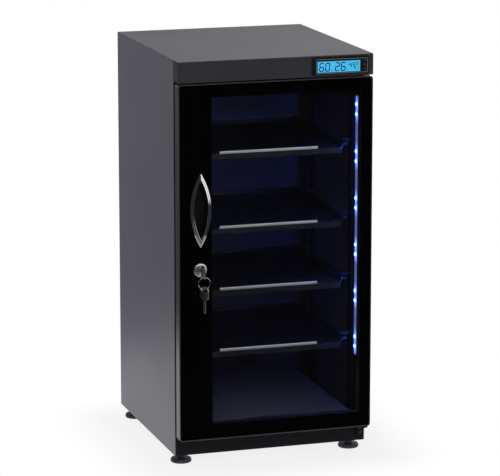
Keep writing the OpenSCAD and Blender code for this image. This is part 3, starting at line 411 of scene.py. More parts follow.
# Each finish: its colour, or the sidebar value that holds it, its roughness, and what differs from plain
FINISH_VALUES = {
    # The side, top and header finishes are lit copies of one black paint: their colours hold painted light,
    # strongest on the top and sides and least on the header
    "body paint as lit on the sides and back": ("case.side", 0.46, dict(spread=0.05, slow=5.0, grain=1100.0, depth=0.03)),
    "body paint as lit on the top": ("case.top", 0.5, dict(spread=0.04, slow=5.0, grain=1100.0, depth=0.03)),
    "body paint as lit on the header": ("case.header", 0.42, dict(spread=0.05, slow=9.0, grain=1100.0)),
    "base paint": ("case.base", 0.45, dict(grain=1100.0, Specular_IOR_Level=0.1)),
    "inside paint": ("case.inside", 0.5, dict(grain=1100.0, depth=0.03)),
    "shelf paint": ((0.013, 0.015, 0.018), 0.32, dict(
        grain=1100.0, depth=0.03, worn=(0.05, 0.052, 0.06), wear=0.02)),
    "zinc plate": ((0.42, 0.43, 0.45), 0.38, dict(
        metallic=1.0, spread=0.12, slow=60.0, grain=500.0, depth=0.01, pores=0.5)),
    "black screw": ((0.015, 0.015, 0.017), 0.45, dict(slow=90.0, grain=700.0, depth=0.01)),
    "door profile": ("door.frame", 0.36, dict(
        metallic=0.55, slow=30.0, stretch=(1, 1, 0.04), grain=2500.0, depth=0.008)),
    "polished chrome": ((0.93, 0.93, 0.94), 0.05, dict(
        metallic=1.0, spread=0.01, rough_spread=0.015, slow=90.0, depth=0.001)),
    "lock nickel": ((0.85, 0.84, 0.85), 0.34, dict(
        metallic=1.0, spread=0.35, rough_spread=0.08, slow=520.0, grain=1500.0, worn=(1.0, 1.0, 1.0),
        wear=0.16, wear_scale=700.0)),
    "key metal": ("keys.metal", 0.3, dict(
        metallic=1.0, spread=0.25, slow=500.0, grain=1300.0, depth=0.03, worn=(0.95, 0.93, 0.88), wear=0.16,
        wear_scale=700.0)),
    "spring wire": ((0.86, 0.86, 0.88), 0.12, dict(
        metallic=1.0, spread=0.04, slow=300.0, grain=2600.0, depth=0.002)),
    "drawn aluminium": ((0.9, 0.9, 0.91), 0.3, dict(
        metallic=1.0, spread=0.05, slow=120.0, stretch=(0.03, 1, 1), grain=3000.0, depth=0.006)),
    "black moulding": ((0.012, 0.012, 0.014), 0.5, dict(grain=1600.0, depth=0.04, pores=0.4)),
    "foot moulding": ((0.018, 0.019, 0.024), 0.48, dict(grain=1600.0, depth=0.04, pores=0.4)),
    "gloss black": ((0.006, 0.006, 0.008), 0.16, dict(
        spread=0.1, grain=700.0, depth=0.002, Specular_IOR_Level=0.3)),
    "button rubber": ((0.012, 0.012, 0.016), 0.55, dict(grain=2400.0)),
    "black rubber": ((0.01, 0.01, 0.011), 0.62, dict(grain=1300.0, depth=0.05, coarse=0.6)),
    "nylon": ((0.8, 0.77, 0.7), 0.42, dict(grain=1500.0, depth=0.01, Subsurface_Weight=0.1)),
    "flap plastic": ((0.55, 0.55, 0.56), 0.45, dict(grain=1500.0)),
    "circuit board": ((0.02, 0.13, 0.05), 0.35, dict(
        spread=0.2, slow=240.0, grain=600.0, depth=0.03, worn=(0.4, 0.25, 0.08), wear=0.08,
        wear_scale=260.0)),
    "strip board": ((0.62, 0.63, 0.68), 0.4, dict(
        slow=200.0, worn=(0.35, 0.2, 0.07), wear=0.02, wear_scale=420.0)),
    "drying pack paper": ((0.75, 0.71, 0.62), 0.8, dict(spread=0.08, slow=120.0, depth=0.15, pores=0.6)),
    "foam skin": ("pad.color", 0.85, dict(
        spread=0.12, slow=120.0, grain=520.0, depth=0.35, pores=1.6, Sheen_Weight=0.25, Sheen_Roughness=0.5)),
    "border print": ("door.border", 0.3, dict(spread=0.1, slow=30.0, depth=0.001, Specular_IOR_Level=0.0)),
    "screen ink": ("display.ink", 0.5, dict(slow=200.0, depth=0.002)),
    "grey print": ((0.24, 0.24, 0.27), 0.5, dict(slow=200.0, depth=0.002)),
}
FINISHES = {}


def finish(name):
    """A finish of this cabinet, made the first time that it is used."""
    if name not in FINISHES:
        color, rough, more = FINISH_VALUES[name]
        if isinstance(color, str):
            group, value = color.split(".")
            color = getattr(getattr(looks(), group), value)
        FINISHES[name] = surface(name.capitalize(), color, rough, **more)
    return FINISHES[name]


def clear_glass():
    """Door glass: clear, with a faint change of tint."""
    made, tree, shader = new_material("Clear glass")
    haze = effect(tree, mottle_group, {
        "Color": (0.93, 0.95, 0.96, 1), "Color spread": 0.01, "Roughness": 0.0, "Roughness spread": 0.0,
        "Scale": 9.0,
    })
    set_inputs(tree, shader, {
        "Base Color": haze["Color"], "Roughness": haze["Roughness"], "Transmission Weight": 1.0, "IOR": 1.47,
        "Metallic": 0.0, "Specular IOR Level": 0.3,
    })
    return made


def strip_with_painted_glow():
    """The lamp strip's board with a painted glow: its emission round each lamp stands in for the lamps' light
    falling on the board, which is no lamp itself.
    """
    made, lamps = finish("strip board"), looks().lamps
    tree = made.node_tree
    low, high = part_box("lamps")
    glow = effect(tree, lamp_glow_group, {
        "First pair": high.z - (high.y - low.y) / 2 - lamps.gap / 2, "Pair spacing": lamps.pitch,
        "Lamp spacing": lamps.gap,
    })
    # Painted glow: the board emits round each lamp, and more faintly all along its length
    coat = mix_node(tree, glow["Glow"], (0, 0, 0, 1), (*lamps.coat, 1), "RGBA")
    set_inputs(tree, tree.nodes["Principled BSDF"], {
        "Emission Color": coat, "Emission Strength": lamps.coat_strength,
    })
    return made


def glowing(name, color, strength, dark, spread, scale):
    """A lit face whose light varies a little from place to place."""
    made, tree, shader = new_material(name)
    uneven = effect(tree, mottle_group, {
        "Color": (*color, 1), "Color spread": spread, "Roughness": 0.3, "Roughness spread": 0.05,
        "Scale": scale,
    })
    set_inputs(tree, shader, {
        "Emission Color": uneven["Color"], "Roughness": uneven["Roughness"], "Base Color": (*dark, 1),
        "Emission Strength": strength,
    })
    return made


# Meshes and pieces

def shade(mesh, sharp=35.0):
    """Smooth faces, with edges over an angle in degrees kept sharp."""
    mesh.shade_smooth()
    mesh.set_sharp_from_angle(angle=math.radians(sharp))
    return mesh


def kept(shape, mesh):
    """Writes a bmesh into a mesh and frees it."""
    shape.to_mesh(mesh)
    shape.free()
    return mesh


def mesh_from(name, points, faces, sharp=35.0):
    """A closed mesh from points and faces, merged and with its faces outward."""
    shape = bmesh.new()
    made = [shape.verts.new(p) for p in points]
    for face in faces:
        shape.faces.new([made[i] for i in face])
    bmesh.ops.remove_doubles(shape, verts=shape.verts, dist=SAME_POINT)
    bmesh.ops.recalc_face_normals(shape, faces=shape.faces)
    return shade(kept(shape, bpy.data.meshes.new(name)), sharp)


def linked(name, mesh):
    """A new object in the scene."""
    made = bpy.data.objects.new(name, mesh)
    bpy.context.scene.collection.objects.link(made)
    return made


def evaluated(host, modifier):
    """An object's mesh with its modifiers at work. The given one is then taken off."""
    graph = bpy.context.evaluated_depsgraph_get()
    mesh = bpy.data.meshes.new_from_object(host.evaluated_get(graph), depsgraph=graph)
    host.modifiers.remove(modifier)
    return mesh


def piece(name, mesh, body, material=None, stands_for=()):
    """A finished piece: its material, the CAD nodes that it hides, and the body that it rides on."""
    made = linked(name, mesh)
    if material is not None:
        mesh.materials.clear()
        mesh.materials.append(material)
    if stands_for:
        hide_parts(*stands_for)
    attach(made, body)
    return made


def paint(material, *nodes):
    """Gives CAD nodes that keep their own shapes their material."""
    for node in nodes:
        for slot in frame["nodes"][node].material_slots:
            slot.link = "OBJECT"
            slot.material = material


def body_and_slot(node):
    """The body that a CAD node belongs to, and its material slot."""
    record = frame["record"]
    body = next(name for name, members in record["behaviour"]["bodies"].items() if node in members)
    slot = next(row["material_slot"] for row in record["subparts"] if row["node"] == node)
    return body, slot


def merged(node):
    """A copy of a CAD node with its triangles joined."""
    shape = bmesh.new()
    shape.from_mesh(frame["nodes"][node].data)
    bmesh.ops.remove_doubles(shape, verts=shape.verts, dist=SAME_CORNER)
    return shape


def welded(node):
    """A copy of a CAD node with its triangles joined, and its flat faces made whole."""
    shape = merged(node)
    bmesh.ops.dissolve_limit(
        shape, angle_limit=math.radians(FLAT), verts=shape.verts, edges=shape.edges, delimit={"NORMAL"}
    )
    return shape


def eased(material, radius, *nodes, segments=2):
    """CAD nodes' shapes with their edges rounded, each of which stands for its node."""
    for node in nodes:
        body, slot = body_and_slot(node)
        mesh = shade(kept(welded(node), bpy.data.meshes.new(node + "_eased")), 30.0)
        made = piece(node + "_skin", mesh, body, material, (node,))
        bevel = made.modifiers.new("Eased edges", "BEVEL")
        bevel.width = radius
        bevel.segments = segments
        bevel.limit_method = "ANGLE"
        bevel.angle_limit = math.radians(38)
        bevel.harden_normals = bevel.use_clamp_overlap = True


def dot(x, z, radius, steps=16):
    """Outline of a round dot."""
    angles = np.linspace(0, 2 * math.pi, steps, False)
    return [(x + radius * math.cos(a), z + radius * math.sin(a)) for a in angles]


def turned(name, profile, segments=64):
    """A mesh turned about Z from (radius, height) points in millimetres, from one end to the other."""
    points, rows, faces = [], [], []
    for radius, height in profile:
        if radius == 0:
            rows.append([len(points)])
            points.append((0, 0, height * MM))
            continue
        rows.append(list(range(len(points), len(points) + segments)))
        for i in range(segments):
            angle = 2 * math.pi * i / segments
            points.append((radius * math.cos(angle) * MM, radius * math.sin(angle) * MM, height * MM))
    closed = profile[0][0] > 0 and profile[-1][0] > 0
    pairs = list(zip(rows, rows[1:])) + ([(rows[-1], rows[0])] if closed else [])
    for low, high in pairs:
        for i in range(segments):
            j = (i + 1) % segments
            corners = [low[i % len(low)], low[j % len(low)], high[j % len(high)], high[i % len(high)]]
            corners = list(dict.fromkeys(corners))
            if len(corners) > 2:
                faces.append(corners)
    return mesh_from(name, points, faces, sharp=32.0)


def round_rect(x, z, radius, steps=6):
    """Points of a rectangle with round corners, anticlockwise seen from the front."""
    points = []
    for corner, (cx, cz) in enumerate(((x[1], z[1]), (x[0], z[1]), (x[0], z[0]), (x[1], z[0]))):
        sx, sz = (1, 1, -1, -1)[(corner + 1) % 4], (1, 1, -1, -1)[corner]
        for step in range(steps + 1):
            angle = math.pi / 2 * (corner + step / steps)
            points.append((cx + radius * (math.cos(angle) - sx), cz + radius * (math.sin(angle) - sz)))
    return points


def frame_plate(name, outer, inner, y):
    """A thin plate between two outlines with the same count of points, from y[0] to y[1]."""
    n = len(outer)
    points = [(px, py, pz) for ring in (outer, inner) for py in y for px, pz in ring]
    faces = []
    for i in range(n):
        j = (i + 1) % n
        faces += [
            [i, j, n + j, n + i], [2 * n + i, 3 * n + i, 3 * n + j, 2 * n + j],
            [i, 2 * n + i, 2 * n + j, j], [n + i, n + j, 3 * n + j, 3 * n + i],
        ]
    return mesh_from(name, points, faces)


def slabs(name, outlines, y):
    """Thin solid plates, one for each outline, from y[0] to y[1]."""
    points, faces = [], []
    for outline in outlines:
        base, n = len(points), len(outline)
        points += [(px, py, pz) for py in y for px, pz in outline]
        faces.append([base + i for i in range(n)])
        faces.append([base + n + i for i in reversed(range(n))])
        faces += [[base + i, base + n + i, base + n + (i + 1) % n, base + (i + 1) % n] for i in range(n)]
    return mesh_from(name, points, faces)


def islands(node):
    """Lowest and highest corner of each separate solid of a CAD node."""
    shape = merged(node)
    left, found = set(shape.verts), []
    while left:
        stack, part = [left.pop()], []
        while stack:
            vert = stack.pop()
            part.append(vert.co.copy())
            for edge in vert.link_edges:
                other = edge.other_vert(vert)
                if other in left:
                    left.discard(other)
                    stack.append(other)
        found.append([Vector([pick(p[k] for p in part) for k in range(3)]) for pick in (min, max)])
    shape.free()
    return found


# Geometry node trees

def grown(name, tree, values, start=None):
    """Runs a geometry node tree once and keeps its result as a plain mesh."""
    host = linked(name + "_source", start or bpy.data.meshes.new(name + "_start"))
    build = host.modifiers.new("Build", "NODES")
    build.node_group = tree
    for item in tree.interface.items_tree:
        if item.item_type == "SOCKET" and item.in_out == "INPUT" and item.name in values:
            build[item.identifier] = values[item.name]
    mesh = evaluated(host, build)
    bpy.data.objects.remove(host)
    mesh.name = name
    return shade(mesh)


def geometry_group(name, inputs):
    """An empty geometry tree that takes a geometry, its sizes and a material, and gives a geometry."""
    inputs = {"Geometry": "Geometry", **inputs, "Material": "Material"}
    return new_group(name, "GeometryNodeTree", inputs, {"Geometry": "Geometry"})


def finish_tree(tree, shape, given, out):
    """The end of every tree: real faces with their material."""
    real = put(tree, "GeometryNodeRealizeInstances", {"Geometry": shape}).outputs[0]
    done = put(tree, "GeometryNodeSetMaterial", {"Geometry": real, "Material": given["Material"]})
    tree.links.new(done.outputs[0], out["Geometry"])
    return tree


def joined(tree, *shapes):
    """Several geometries as one."""
    join = tree.nodes.new("GeometryNodeJoinGeometry")
    for shape in reversed(shapes):
        tree.links.new(shape, join.inputs[0])
    return join.outputs[0]


def moved(tree, shape, **changes):
    """A geometry moved, turned or scaled."""
    return put(tree, "GeometryNodeTransform", {"Geometry": shape, **changes}).outputs[0]


def vector(tree, **parts):
    """A vector from numbers."""
    return put(tree, "ShaderNodeCombineXYZ", parts).outputs[0]


def solid(tree, kind, **sizes):
    """A plain solid or line, with underscores in the names of its sizes for spaces."""
    inputs = {key.replace("_", " "): value for key, value in sizes.items()}
    return put(tree, "GeometryNodeMesh" + kind, inputs).outputs[0]


def on_points(tree, points, instance, **more):
    """One copy of a geometry on each point."""
    inputs = {"Points": points, "Instance": instance, **more}
    return put(tree, "GeometryNodeInstanceOnPoints", inputs).outputs[0]


def facing_along(tree, way, axis):
    """The turn that brings an axis onto a direction."""
    return put(tree, "FunctionNodeAlignRotationToVector", {"Vector": way}, axis=axis).outputs[0]


def wound(tree, steps, turns, radius, rise, sides, thickness):
    """A round wire of so many sides, wound about Z from its start height, with closed ends."""
    path = put(tree, "GeometryNodeCurveSpiral", {
        "Resolution": steps, "Rotations": turns, "Start Radius": radius, "End Radius": radius, "Height": rise,
    })
    section = put(tree, "GeometryNodeCurvePrimitiveCircle", {"Resolution": sides, "Radius": thickness})
    return put(tree, "GeometryNodeCurveToMesh", {
        "Curve": path.outputs[0], "Profile Curve": section.outputs[0], "Fill Caps": True,
    }).outputs[0]


def screw_tree():
    """Pan-head screws with a cross recess, one at each point, facing along the point's own direction."""
    tree, given, out = geometry_group("Screws", {
        "Head diameter": 0.007, "Head height": 0.002, "Recess width": 0.0036, "Shank diameter": 0.0035,
        "Shank length": 0.008,
    })
    tall, wide = given["Head height"], given["Recess width"]
    radius = times(tree, given["Head diameter"], 0.5)
    rim_h = times(tree, tall, 0.45)
    rim = solid(tree, "Cylinder", Vertices=28, Radius=radius, Depth=rim_h)
    rim = moved(tree, rim, Translation=vector(tree, Z=times(tree, rim_h, 0.5)))
    crown = solid(
        tree, "Cone", Vertices=28, Radius_Top=times(tree, radius, 0.62), Radius_Bottom=radius,
        Depth=math_node(tree, "SUBTRACT", tall, rim_h),
    )
    crown = moved(tree, crown, Translation=vector(tree, Z=rim_h))
    cut = put(tree, "GeometryNodeMeshBoolean", {"Mesh 1": crown}, operation="DIFFERENCE")
    thin = times(tree, wide, 0.24)
    for x, y in ((wide, thin), (thin, wide)):
        blade = solid(tree, "Cube", Size=vector(tree, X=x, Y=y, Z=tall))
        blade = moved(tree, blade, Translation=vector(tree, Z=times(tree, tall, 0.95)))
        tree.links.new(blade, cut.inputs["Mesh 2"])
    head = joined(tree, rim, cut.outputs["Mesh"])
    long = given["Shank length"]
    shank = solid(tree, "Cylinder", Vertices=16, Radius=times(tree, given["Shank diameter"], 0.5), Depth=long)
    shank = moved(tree, shank, Translation=vector(tree, Z=times(tree, long, -0.5)))
    facing = put(tree, "GeometryNodeInputNamedAttribute", {"Name": "facing"}, data_type="FLOAT_VECTOR")
    turn = facing_along(tree, facing.outputs[0], "Z")
    screws = on_points(tree, given["Geometry"], joined(tree, head, shank), Rotation=turn)
    return finish_tree(tree, screws, given, out)


def turned_part_tree():
    """Grip ribs round a turned part and a thread along it, then the part's own turn and place."""
    tree, given, out = geometry_group("Ribs and thread", {
        "Rib count": 24, "Rib circle": 0.02, "Rib size": (0.001, 0.001, 0.005), "Rib height": 0.004,
        "Thread radius": 0.009, "Thread pitch": 0.0015, "Thread turns": 8.0, "Thread depth": 0.0004,
        "Thread start": 0.0, "Turn": (0, 0, 0), "Place": (0, 0, 0),
    })
    circle = solid(tree, "Circle", Vertices=given["Rib count"], Radius=given["Rib circle"])
    outward = facing_along(tree, put(tree, "GeometryNodeInputPosition").outputs[0], "X")
    ribs = on_points(tree, circle, solid(tree, "Cube", Size=given["Rib size"]), Rotation=outward)
    ribs = moved(tree, ribs, Translation=vector(tree, Z=given["Rib height"]))
    turns = given["Thread turns"]
    rise = times(tree, given["Thread pitch"], turns)
    thread = wound(tree, 40, turns, given["Thread radius"], rise, 4, given["Thread depth"])
    thread = moved(tree, thread, Translation=vector(tree, Z=given["Thread start"]))
    whole = joined(tree, given["Geometry"], ribs, thread)
    placed = moved(tree, whole, Translation=given["Place"], Rotation=given["Turn"])
    return finish_tree(tree, placed, given, out)


def lamp_tree():
    """Pairs of square lamps with a round lens, one pair below another."""
    tree, given, out = geometry_group("Lamp pairs", {
        "Pairs": 6, "Pair spacing": 0.095, "Lamp spacing": 0.02, "Lamp size": (0.0016, 0.005, 0.005),
        "Lens radius": 0.002, "First pair": (0, 0, 0),
    })
    gap = given["Lamp spacing"]
    drop = vector(tree, Z=times(tree, given["Pair spacing"], -1.0))
    rows = solid(tree, "Line", Count=given["Pairs"], Start_Location=given["First pair"], Offset=drop)
    low = vector(tree, Z=times(tree, times(tree, gap, 0.5), -1.0))
    pair = solid(tree, "Line", Count=2, Start_Location=low, Offset=vector(tree, Z=gap))
    places = on_points(tree, rows, pair)
    places = put(tree, "GeometryNodeRealizeInstances", {"Geometry": places}).outputs[0]
    lens = solid(tree, "UVSphere", Segments=20, Rings=10, Radius=given["Lens radius"])
    lens = moved(tree, lens, Scale=(0.5, 1.0, 1.0))
    thick = put(tree, "ShaderNodeSeparateXYZ", {0: given["Lamp size"]}).outputs[0]
    lens = moved(tree, lens, Translation=vector(tree, X=times(tree, thick, -0.45)))
    lamp = joined(tree, solid(tree, "Cube", Size=given["Lamp size"]), lens)
    return finish_tree(tree, on_points(tree, places, lamp), given, out)


def split_ring_tree():
    """A split ring: a round wire wound nearly twice."""
    tree, given, out = geometry_group("Split ring", {
        "Radius": 0.012, "Wire": 0.0009, "Turns": 1.96, "Place": (0, 0, 0),
    })
    rise = times(tree, given["Wire"], given["Turns"])
    wire = wound(tree, 72, given["Turns"], given["Radius"], rise, 14, times(tree, given["Wire"], 0.52))
    wire = moved(tree, wire, Translation=vector(tree, Z=times(tree, rise, -0.5)))
    placed = moved(tree, wire, Translation=given["Place"], Rotation=UPRIGHT)
    return finish_tree(tree, placed, given, out)


def seal_tree():
    """A soft seal whose section follows a rectangle with round corners."""
    tree, given, out = geometry_group("Door seal", {
        "Section": "Object", "Width": 0.38, "Height": 0.69, "Corner radius": 0.006, "Place": (0, 0, 0),
    })
    path = put(tree, "GeometryNodeCurvePrimitiveQuadrilateral", {
        "Width": given["Width"], "Height": given["Height"],
    })
    path = put(tree, "GeometryNodeFilletCurve", {
        "Curve": path.outputs[0], "Count": 8, "Radius": given["Corner radius"],
    }, mode="POLY")
    path = put(tree, "GeometryNodeSetCurveNormal", {"Curve": path.outputs[0]}, mode="Z_UP")
    section = put(tree, "GeometryNodeObjectInfo", {"Object": given["Section"]})
    section = put(tree, "GeometryNodeMeshToCurve", {"Mesh": section.outputs["Geometry"]})
    seal = put(tree, "GeometryNodeCurveToMesh", {
        "Curve": path.outputs[0], "Profile Curve": section.outputs[0],
    })
    placed = moved(tree, seal.outputs[0], Translation=given["Place"], Rotation=UPRIGHT)
    return finish_tree(tree, placed, given, out)


# Operators

class CaseOperator(bpy.types.Operator):
    """Paint the case and round its sheet edges"""
    bl_idname = "cabinet.case"
    bl_label = "Case"

    def execute(self, context):
        sheets = {
            "body paint as lit on the sides and back": ("left_side", "right_side", "back_panel"), "body paint as lit on the top": ("top_panel",),
            "body paint as lit on the header": ("header_fascia",), "base paint": ("base_rail", "jamb_left", "jamb_right"),
        }
        for name, nodes in sheets.items():
            eased(finish(name), looks().case.edge, *nodes)
        inner = ("floor_pan", "header_floor", "posts_left", "posts_right", "runners_left", "runners_right")
        paint(finish("inside paint"), *inner)
        paint(finish("zinc plate"), "base_plate")
        return {"FINISHED"}


def rim_arcs():
    """Middle of the handle's rim, the radius of its arcs, and how far their centres lie to either side."""
    long, wide = (RIM[1].z - RIM[0].z) / 2, (RIM[1].x - RIM[0].x) / 2
    radius = (long ** 2 + wide ** 2) / (2 * wide)
    return (RIM[0] + RIM[1]) / 2, radius, radius - wide


class DoorOperator(bpy.types.Operator):
    """Finish the door's profile, its glass and the print round the window"""
    bl_idname = "cabinet.door"
    bl_label = "Door"

    def execute(self, context):
        door = looks().door
        eased(finish("door profile"), 0.6 * MM, "door_frame")
        paint(clear_glass(), "door_glass")
        paint(finish("nylon"), "hinge_bushes")
        eased(finish("base paint"), 0.5 * MM, "hinge_top", "hinge_bottom")
        edge = 0.6 * MM
        outer = round_rect(
            (GLASS[0].x + edge, GLASS[1].x - edge), (GLASS[0].z + edge, GLASS[1].z - edge), 4 * MM
        )
        inner = round_rect(
            (DOOR[0].x + door.left, DOOR[1].x - door.right), (DOOR[0].z + door.bottom, DOOR[1].z - door.top),
            door.corner,
        )
        back = GLASS[1].y - 0.1 * MM
        film = frame_plate("border_print", outer, inner, (back - door.film, back))
        piece("border_print", frame_holes(film), "door", finish("border print"))
        return {"FINISHED"}


def frame_holes(mesh):
    """Cuts the handle's and the lock's openings out of the border print."""
    centre, radius, offset = rim_arcs()
    inner = radius - looks().handle.width / 2
    end = math.acos(offset / inner)
    arc = [(inner * math.cos(t) - offset, inner * math.sin(t)) for t in np.linspace(-end, end, 40)]
    lens = [(centre.x + x, centre.z + z) for x, z in arc + [(-x, -z) for x, z in arc[1:-1]]]
    lock = (LOCK[0] + LOCK[1]) / 2
    outlines = [lens, dot(lock.x, lock.z, 9.2 * MM, 48)]
    host = linked("border_source", mesh)
    cutter = linked("border_cutter", slabs("border_cutter", outlines, (FRONT - 0.01, FRONT + 0.02)))
    cut = host.modifiers.new("Openings", "BOOLEAN")
    cut.object = cutter
    cut.solver = "EXACT"
    result = evaluated(host, cut)
    bpy.data.objects.remove(host)
    bpy.data.objects.remove(cutter)
    return shade(result)


class SealOperator(bpy.types.Operator):
    """Make the soft seal behind the door"""
    bl_idname = "cabinet.seal"
    bl_label = "Door seal"

    def execute(self, context):
        low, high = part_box("door_seal")
        middle, depth, half = (low + high) / 2, (high.y - low.y) / MM, 4 * MM
        section = [
            (0, 0), (8, 0), (8, 2.2), (7.2, 3), (6.4, 3.2), (7, 4.4), (7.1, 6.2), (6.3, 8.4),
            (5, depth - 0.5), (4, depth), (3, depth - 0.5), (1.7, 8.4), (0.9, 6.2), (1, 4.4), (1.6, 3.2),
            (0.8, 3), (0, 2.2),
        ]
        profile = bpy.data.meshes.new("seal_section")
        edges = [(i, (i + 1) % len(section)) for i in range(len(section))]
        profile.from_pydata([((4 - x) * MM, y * MM, 0) for x, y in section], edges, [])
        host = linked("seal_section", profile)
        mesh = grown("door_seal_lip", seal_tree(), {
            "Section": host, "Width": high.x - low.x - 2 * half, "Height": high.z - low.z - 2 * half,
            "Corner radius": 6 * MM, "Place": (middle.x, low.y, middle.z), "Material": finish("black rubber"),
        })
        bpy.data.objects.remove(host)
        shape = bmesh.new()
        shape.from_mesh(mesh)
        bmesh.ops.remove_doubles(shape, verts=shape.verts, dist=SAME_POINT)
        bmesh.ops.recalc_face_normals(shape, faces=shape.faces)
        piece("door_seal_lip", shade(kept(shape, mesh)), "door", stands_for=("door_seal",))
        return {"FINISHED"}


# Section of the handle's rim: two ridges that lean outward, as shares of its width and height
RIM_SECTION = (
    (0, 0), (1, 0), (1, 0.7), (0.985, 0.83), (0.955, 0.93), (0.915, 0.985), (0.87, 1), (0.82, 0.985),
    (0.7, 0.9), (0.6, 0.81), (0.54, 0.74), (0.5, 0.675), (0.485, 0.68), (0.465, 0.72), (0.435, 0.745),
    (0.4, 0.745),
    (0.29, 0.66), (0.18, 0.53), (0.09, 0.4), (0.04, 0.28), (0, 0.1),
)


class HandleOperator(bpy.types.Operator):
    """Make the polished rim of the handle, and finish the cup behind it"""
    bl_idname = "cabinet.handle"
    bl_label = "Handle"

    def execute(self, context):
        rim, (centre, radius, offset) = looks().handle, rim_arcs()
        proud = FRONT - RIM[0].y
        section = [(radius - share * rim.width, height * proud) for share, height in RIM_SECTION]
        number, points, faces = len(section), [], []
        for side in (1, -1):
            base = len(points)
            for t in np.linspace(-1, 1, rim.stations + 1):
                for r, height in section:
                    angle = t * math.acos(offset / r)
                    x = side * (r * math.cos(angle) - offset)
                    points.append((centre.x + x, FRONT - height, centre.z + r * math.sin(angle)))
            for a in range(base, base + rim.stations * number, number):
                b = a + number
                faces += [[a + j, a + (j + 1) % number, b + (j + 1) % number, b + j] for j in range(number)]
        mesh = mesh_from("handle_rim_polished", points, faces, sharp=50.0)
        piece("handle_rim_polished", mesh, "door", finish("polished chrome"), ("handle_rim",))
        paint(finish("gloss black"), "handle_cup")
        return {"FINISHED"}


class LockOperator(bpy.types.Operator):
    """Make the lock face and finish the plug, nut and cam"""
    bl_idname = "cabinet.lock"
    bl_label = "Lock"

    def execute(self, context):
        centre = (LOCK[0] + LOCK[1]) / 2
        deep = (FRONT - LOCK[1].y) / MM
        profile = [
            (6.08, deep), (6.08, 3.3), (6.5, 3.9), (6.9, 4.0), (9.9, 4.0), (10.15, 3.75), (10.45, 3.75),
            (10.7, 4.0), (11.3, 3.95), (12.3, 3.55), (13.1, 2.7), (13.45, 1.6), (13.5, 0.8), (13.5, 0),
            (9, 0),
            (8.7, deep + 0.4), (8.3, deep),
        ]
        mesh = grown("lock_face", turned_part_tree(), {
            "Rib count": 0, "Thread radius": 8.85 * MM, "Thread pitch": 1.5 * MM, "Thread turns": 11.0,
            "Thread depth": 0.45 * MM, "Thread start": (deep + 1) * MM, "Turn": UPRIGHT,
            "Place": (centre.x, FRONT, centre.z), "Material": finish("lock nickel"),
        }, start=turned("lock_body", profile, 72))
        piece("lock_face", mesh, "door", stands_for=("lock_housing",))
        eased(finish("lock nickel"), 0.3 * MM, "lock_plug")
        eased(finish("zinc plate"), 0.5 * MM, "lock_nut")
        eased(finish("zinc plate"), 0.3 * MM, "lock_cam")
        return {"FINISHED"}


class KeysOperator(bpy.types.Operator):
    """Make the split ring and finish both keys"""
    bl_idname = "cabinet.keys"
    bl_label = "Keys"

    def execute(self, context):
        keys = looks().keys
        low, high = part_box("key_ring")
        mesh = grown("split_ring", split_ring_tree(), {
            "Radius": (high.x - low.x) / 2 - keys.wire, "Wire": keys.wire, "Place": tuple((low + high) / 2),
            "Material": finish("spring wire"),
        })
        piece("split_ring", mesh, "key_ring", stands_for=("key_ring",))
        eased(finish("key metal"), keys.cut_edge, "key", "spare_key")
        return {"FINISHED"}


SEGMENTS = {
    "0": "abcdef", "1": "bc", "2": "abged", "3": "abgcd", "4": "fgbc", "5": "afgcd", "6": "afgedc",
    "7": "abc", "8": "abcdefg", "9": "abcdfg",
}


def figure_outlines(text, x, z, height, stroke, slant=0.09):
    """Outlines of seven-segment figures from a left lower corner, and where the next one starts."""
    wide, half, lines = height * 0.52, height / 2, []
    s, gap = stroke / 2, stroke * 0.08
    bars = {
        "a": (0, height, wide), "g": (0, half, wide), "d": (0, 0, wide),
        "f": (0, half, 0), "e": (0, 0, 0), "b": (wide, half, 0), "c": (wide, 0, 0),
    }
    for sign in text:
        for bar in SEGMENTS.get(sign, "g"):
            x0, z0, run = bars[bar]
            long = run or half
            near, far = gap + s, long - gap - s
            hexagon = [(gap, 0), (near, -s), (far, -s), (long - gap, 0), (far, s), (near, s)]
            shape = [(x0 + a, z0 + b) if run else (x0 - b, z0 + a) for a, b in hexagon]
            lines.append([(x + px + slant * pz, z + pz) for px, pz in shape])
        x += wide + stroke * 1.9
    return lines, x


def round_mark(x, z, width, height):
    """Outline of a small flat mark."""
    return round_rect((x - width / 2, x + width / 2), (z - height / 2, z + height / 2), height * 0.4, 3)


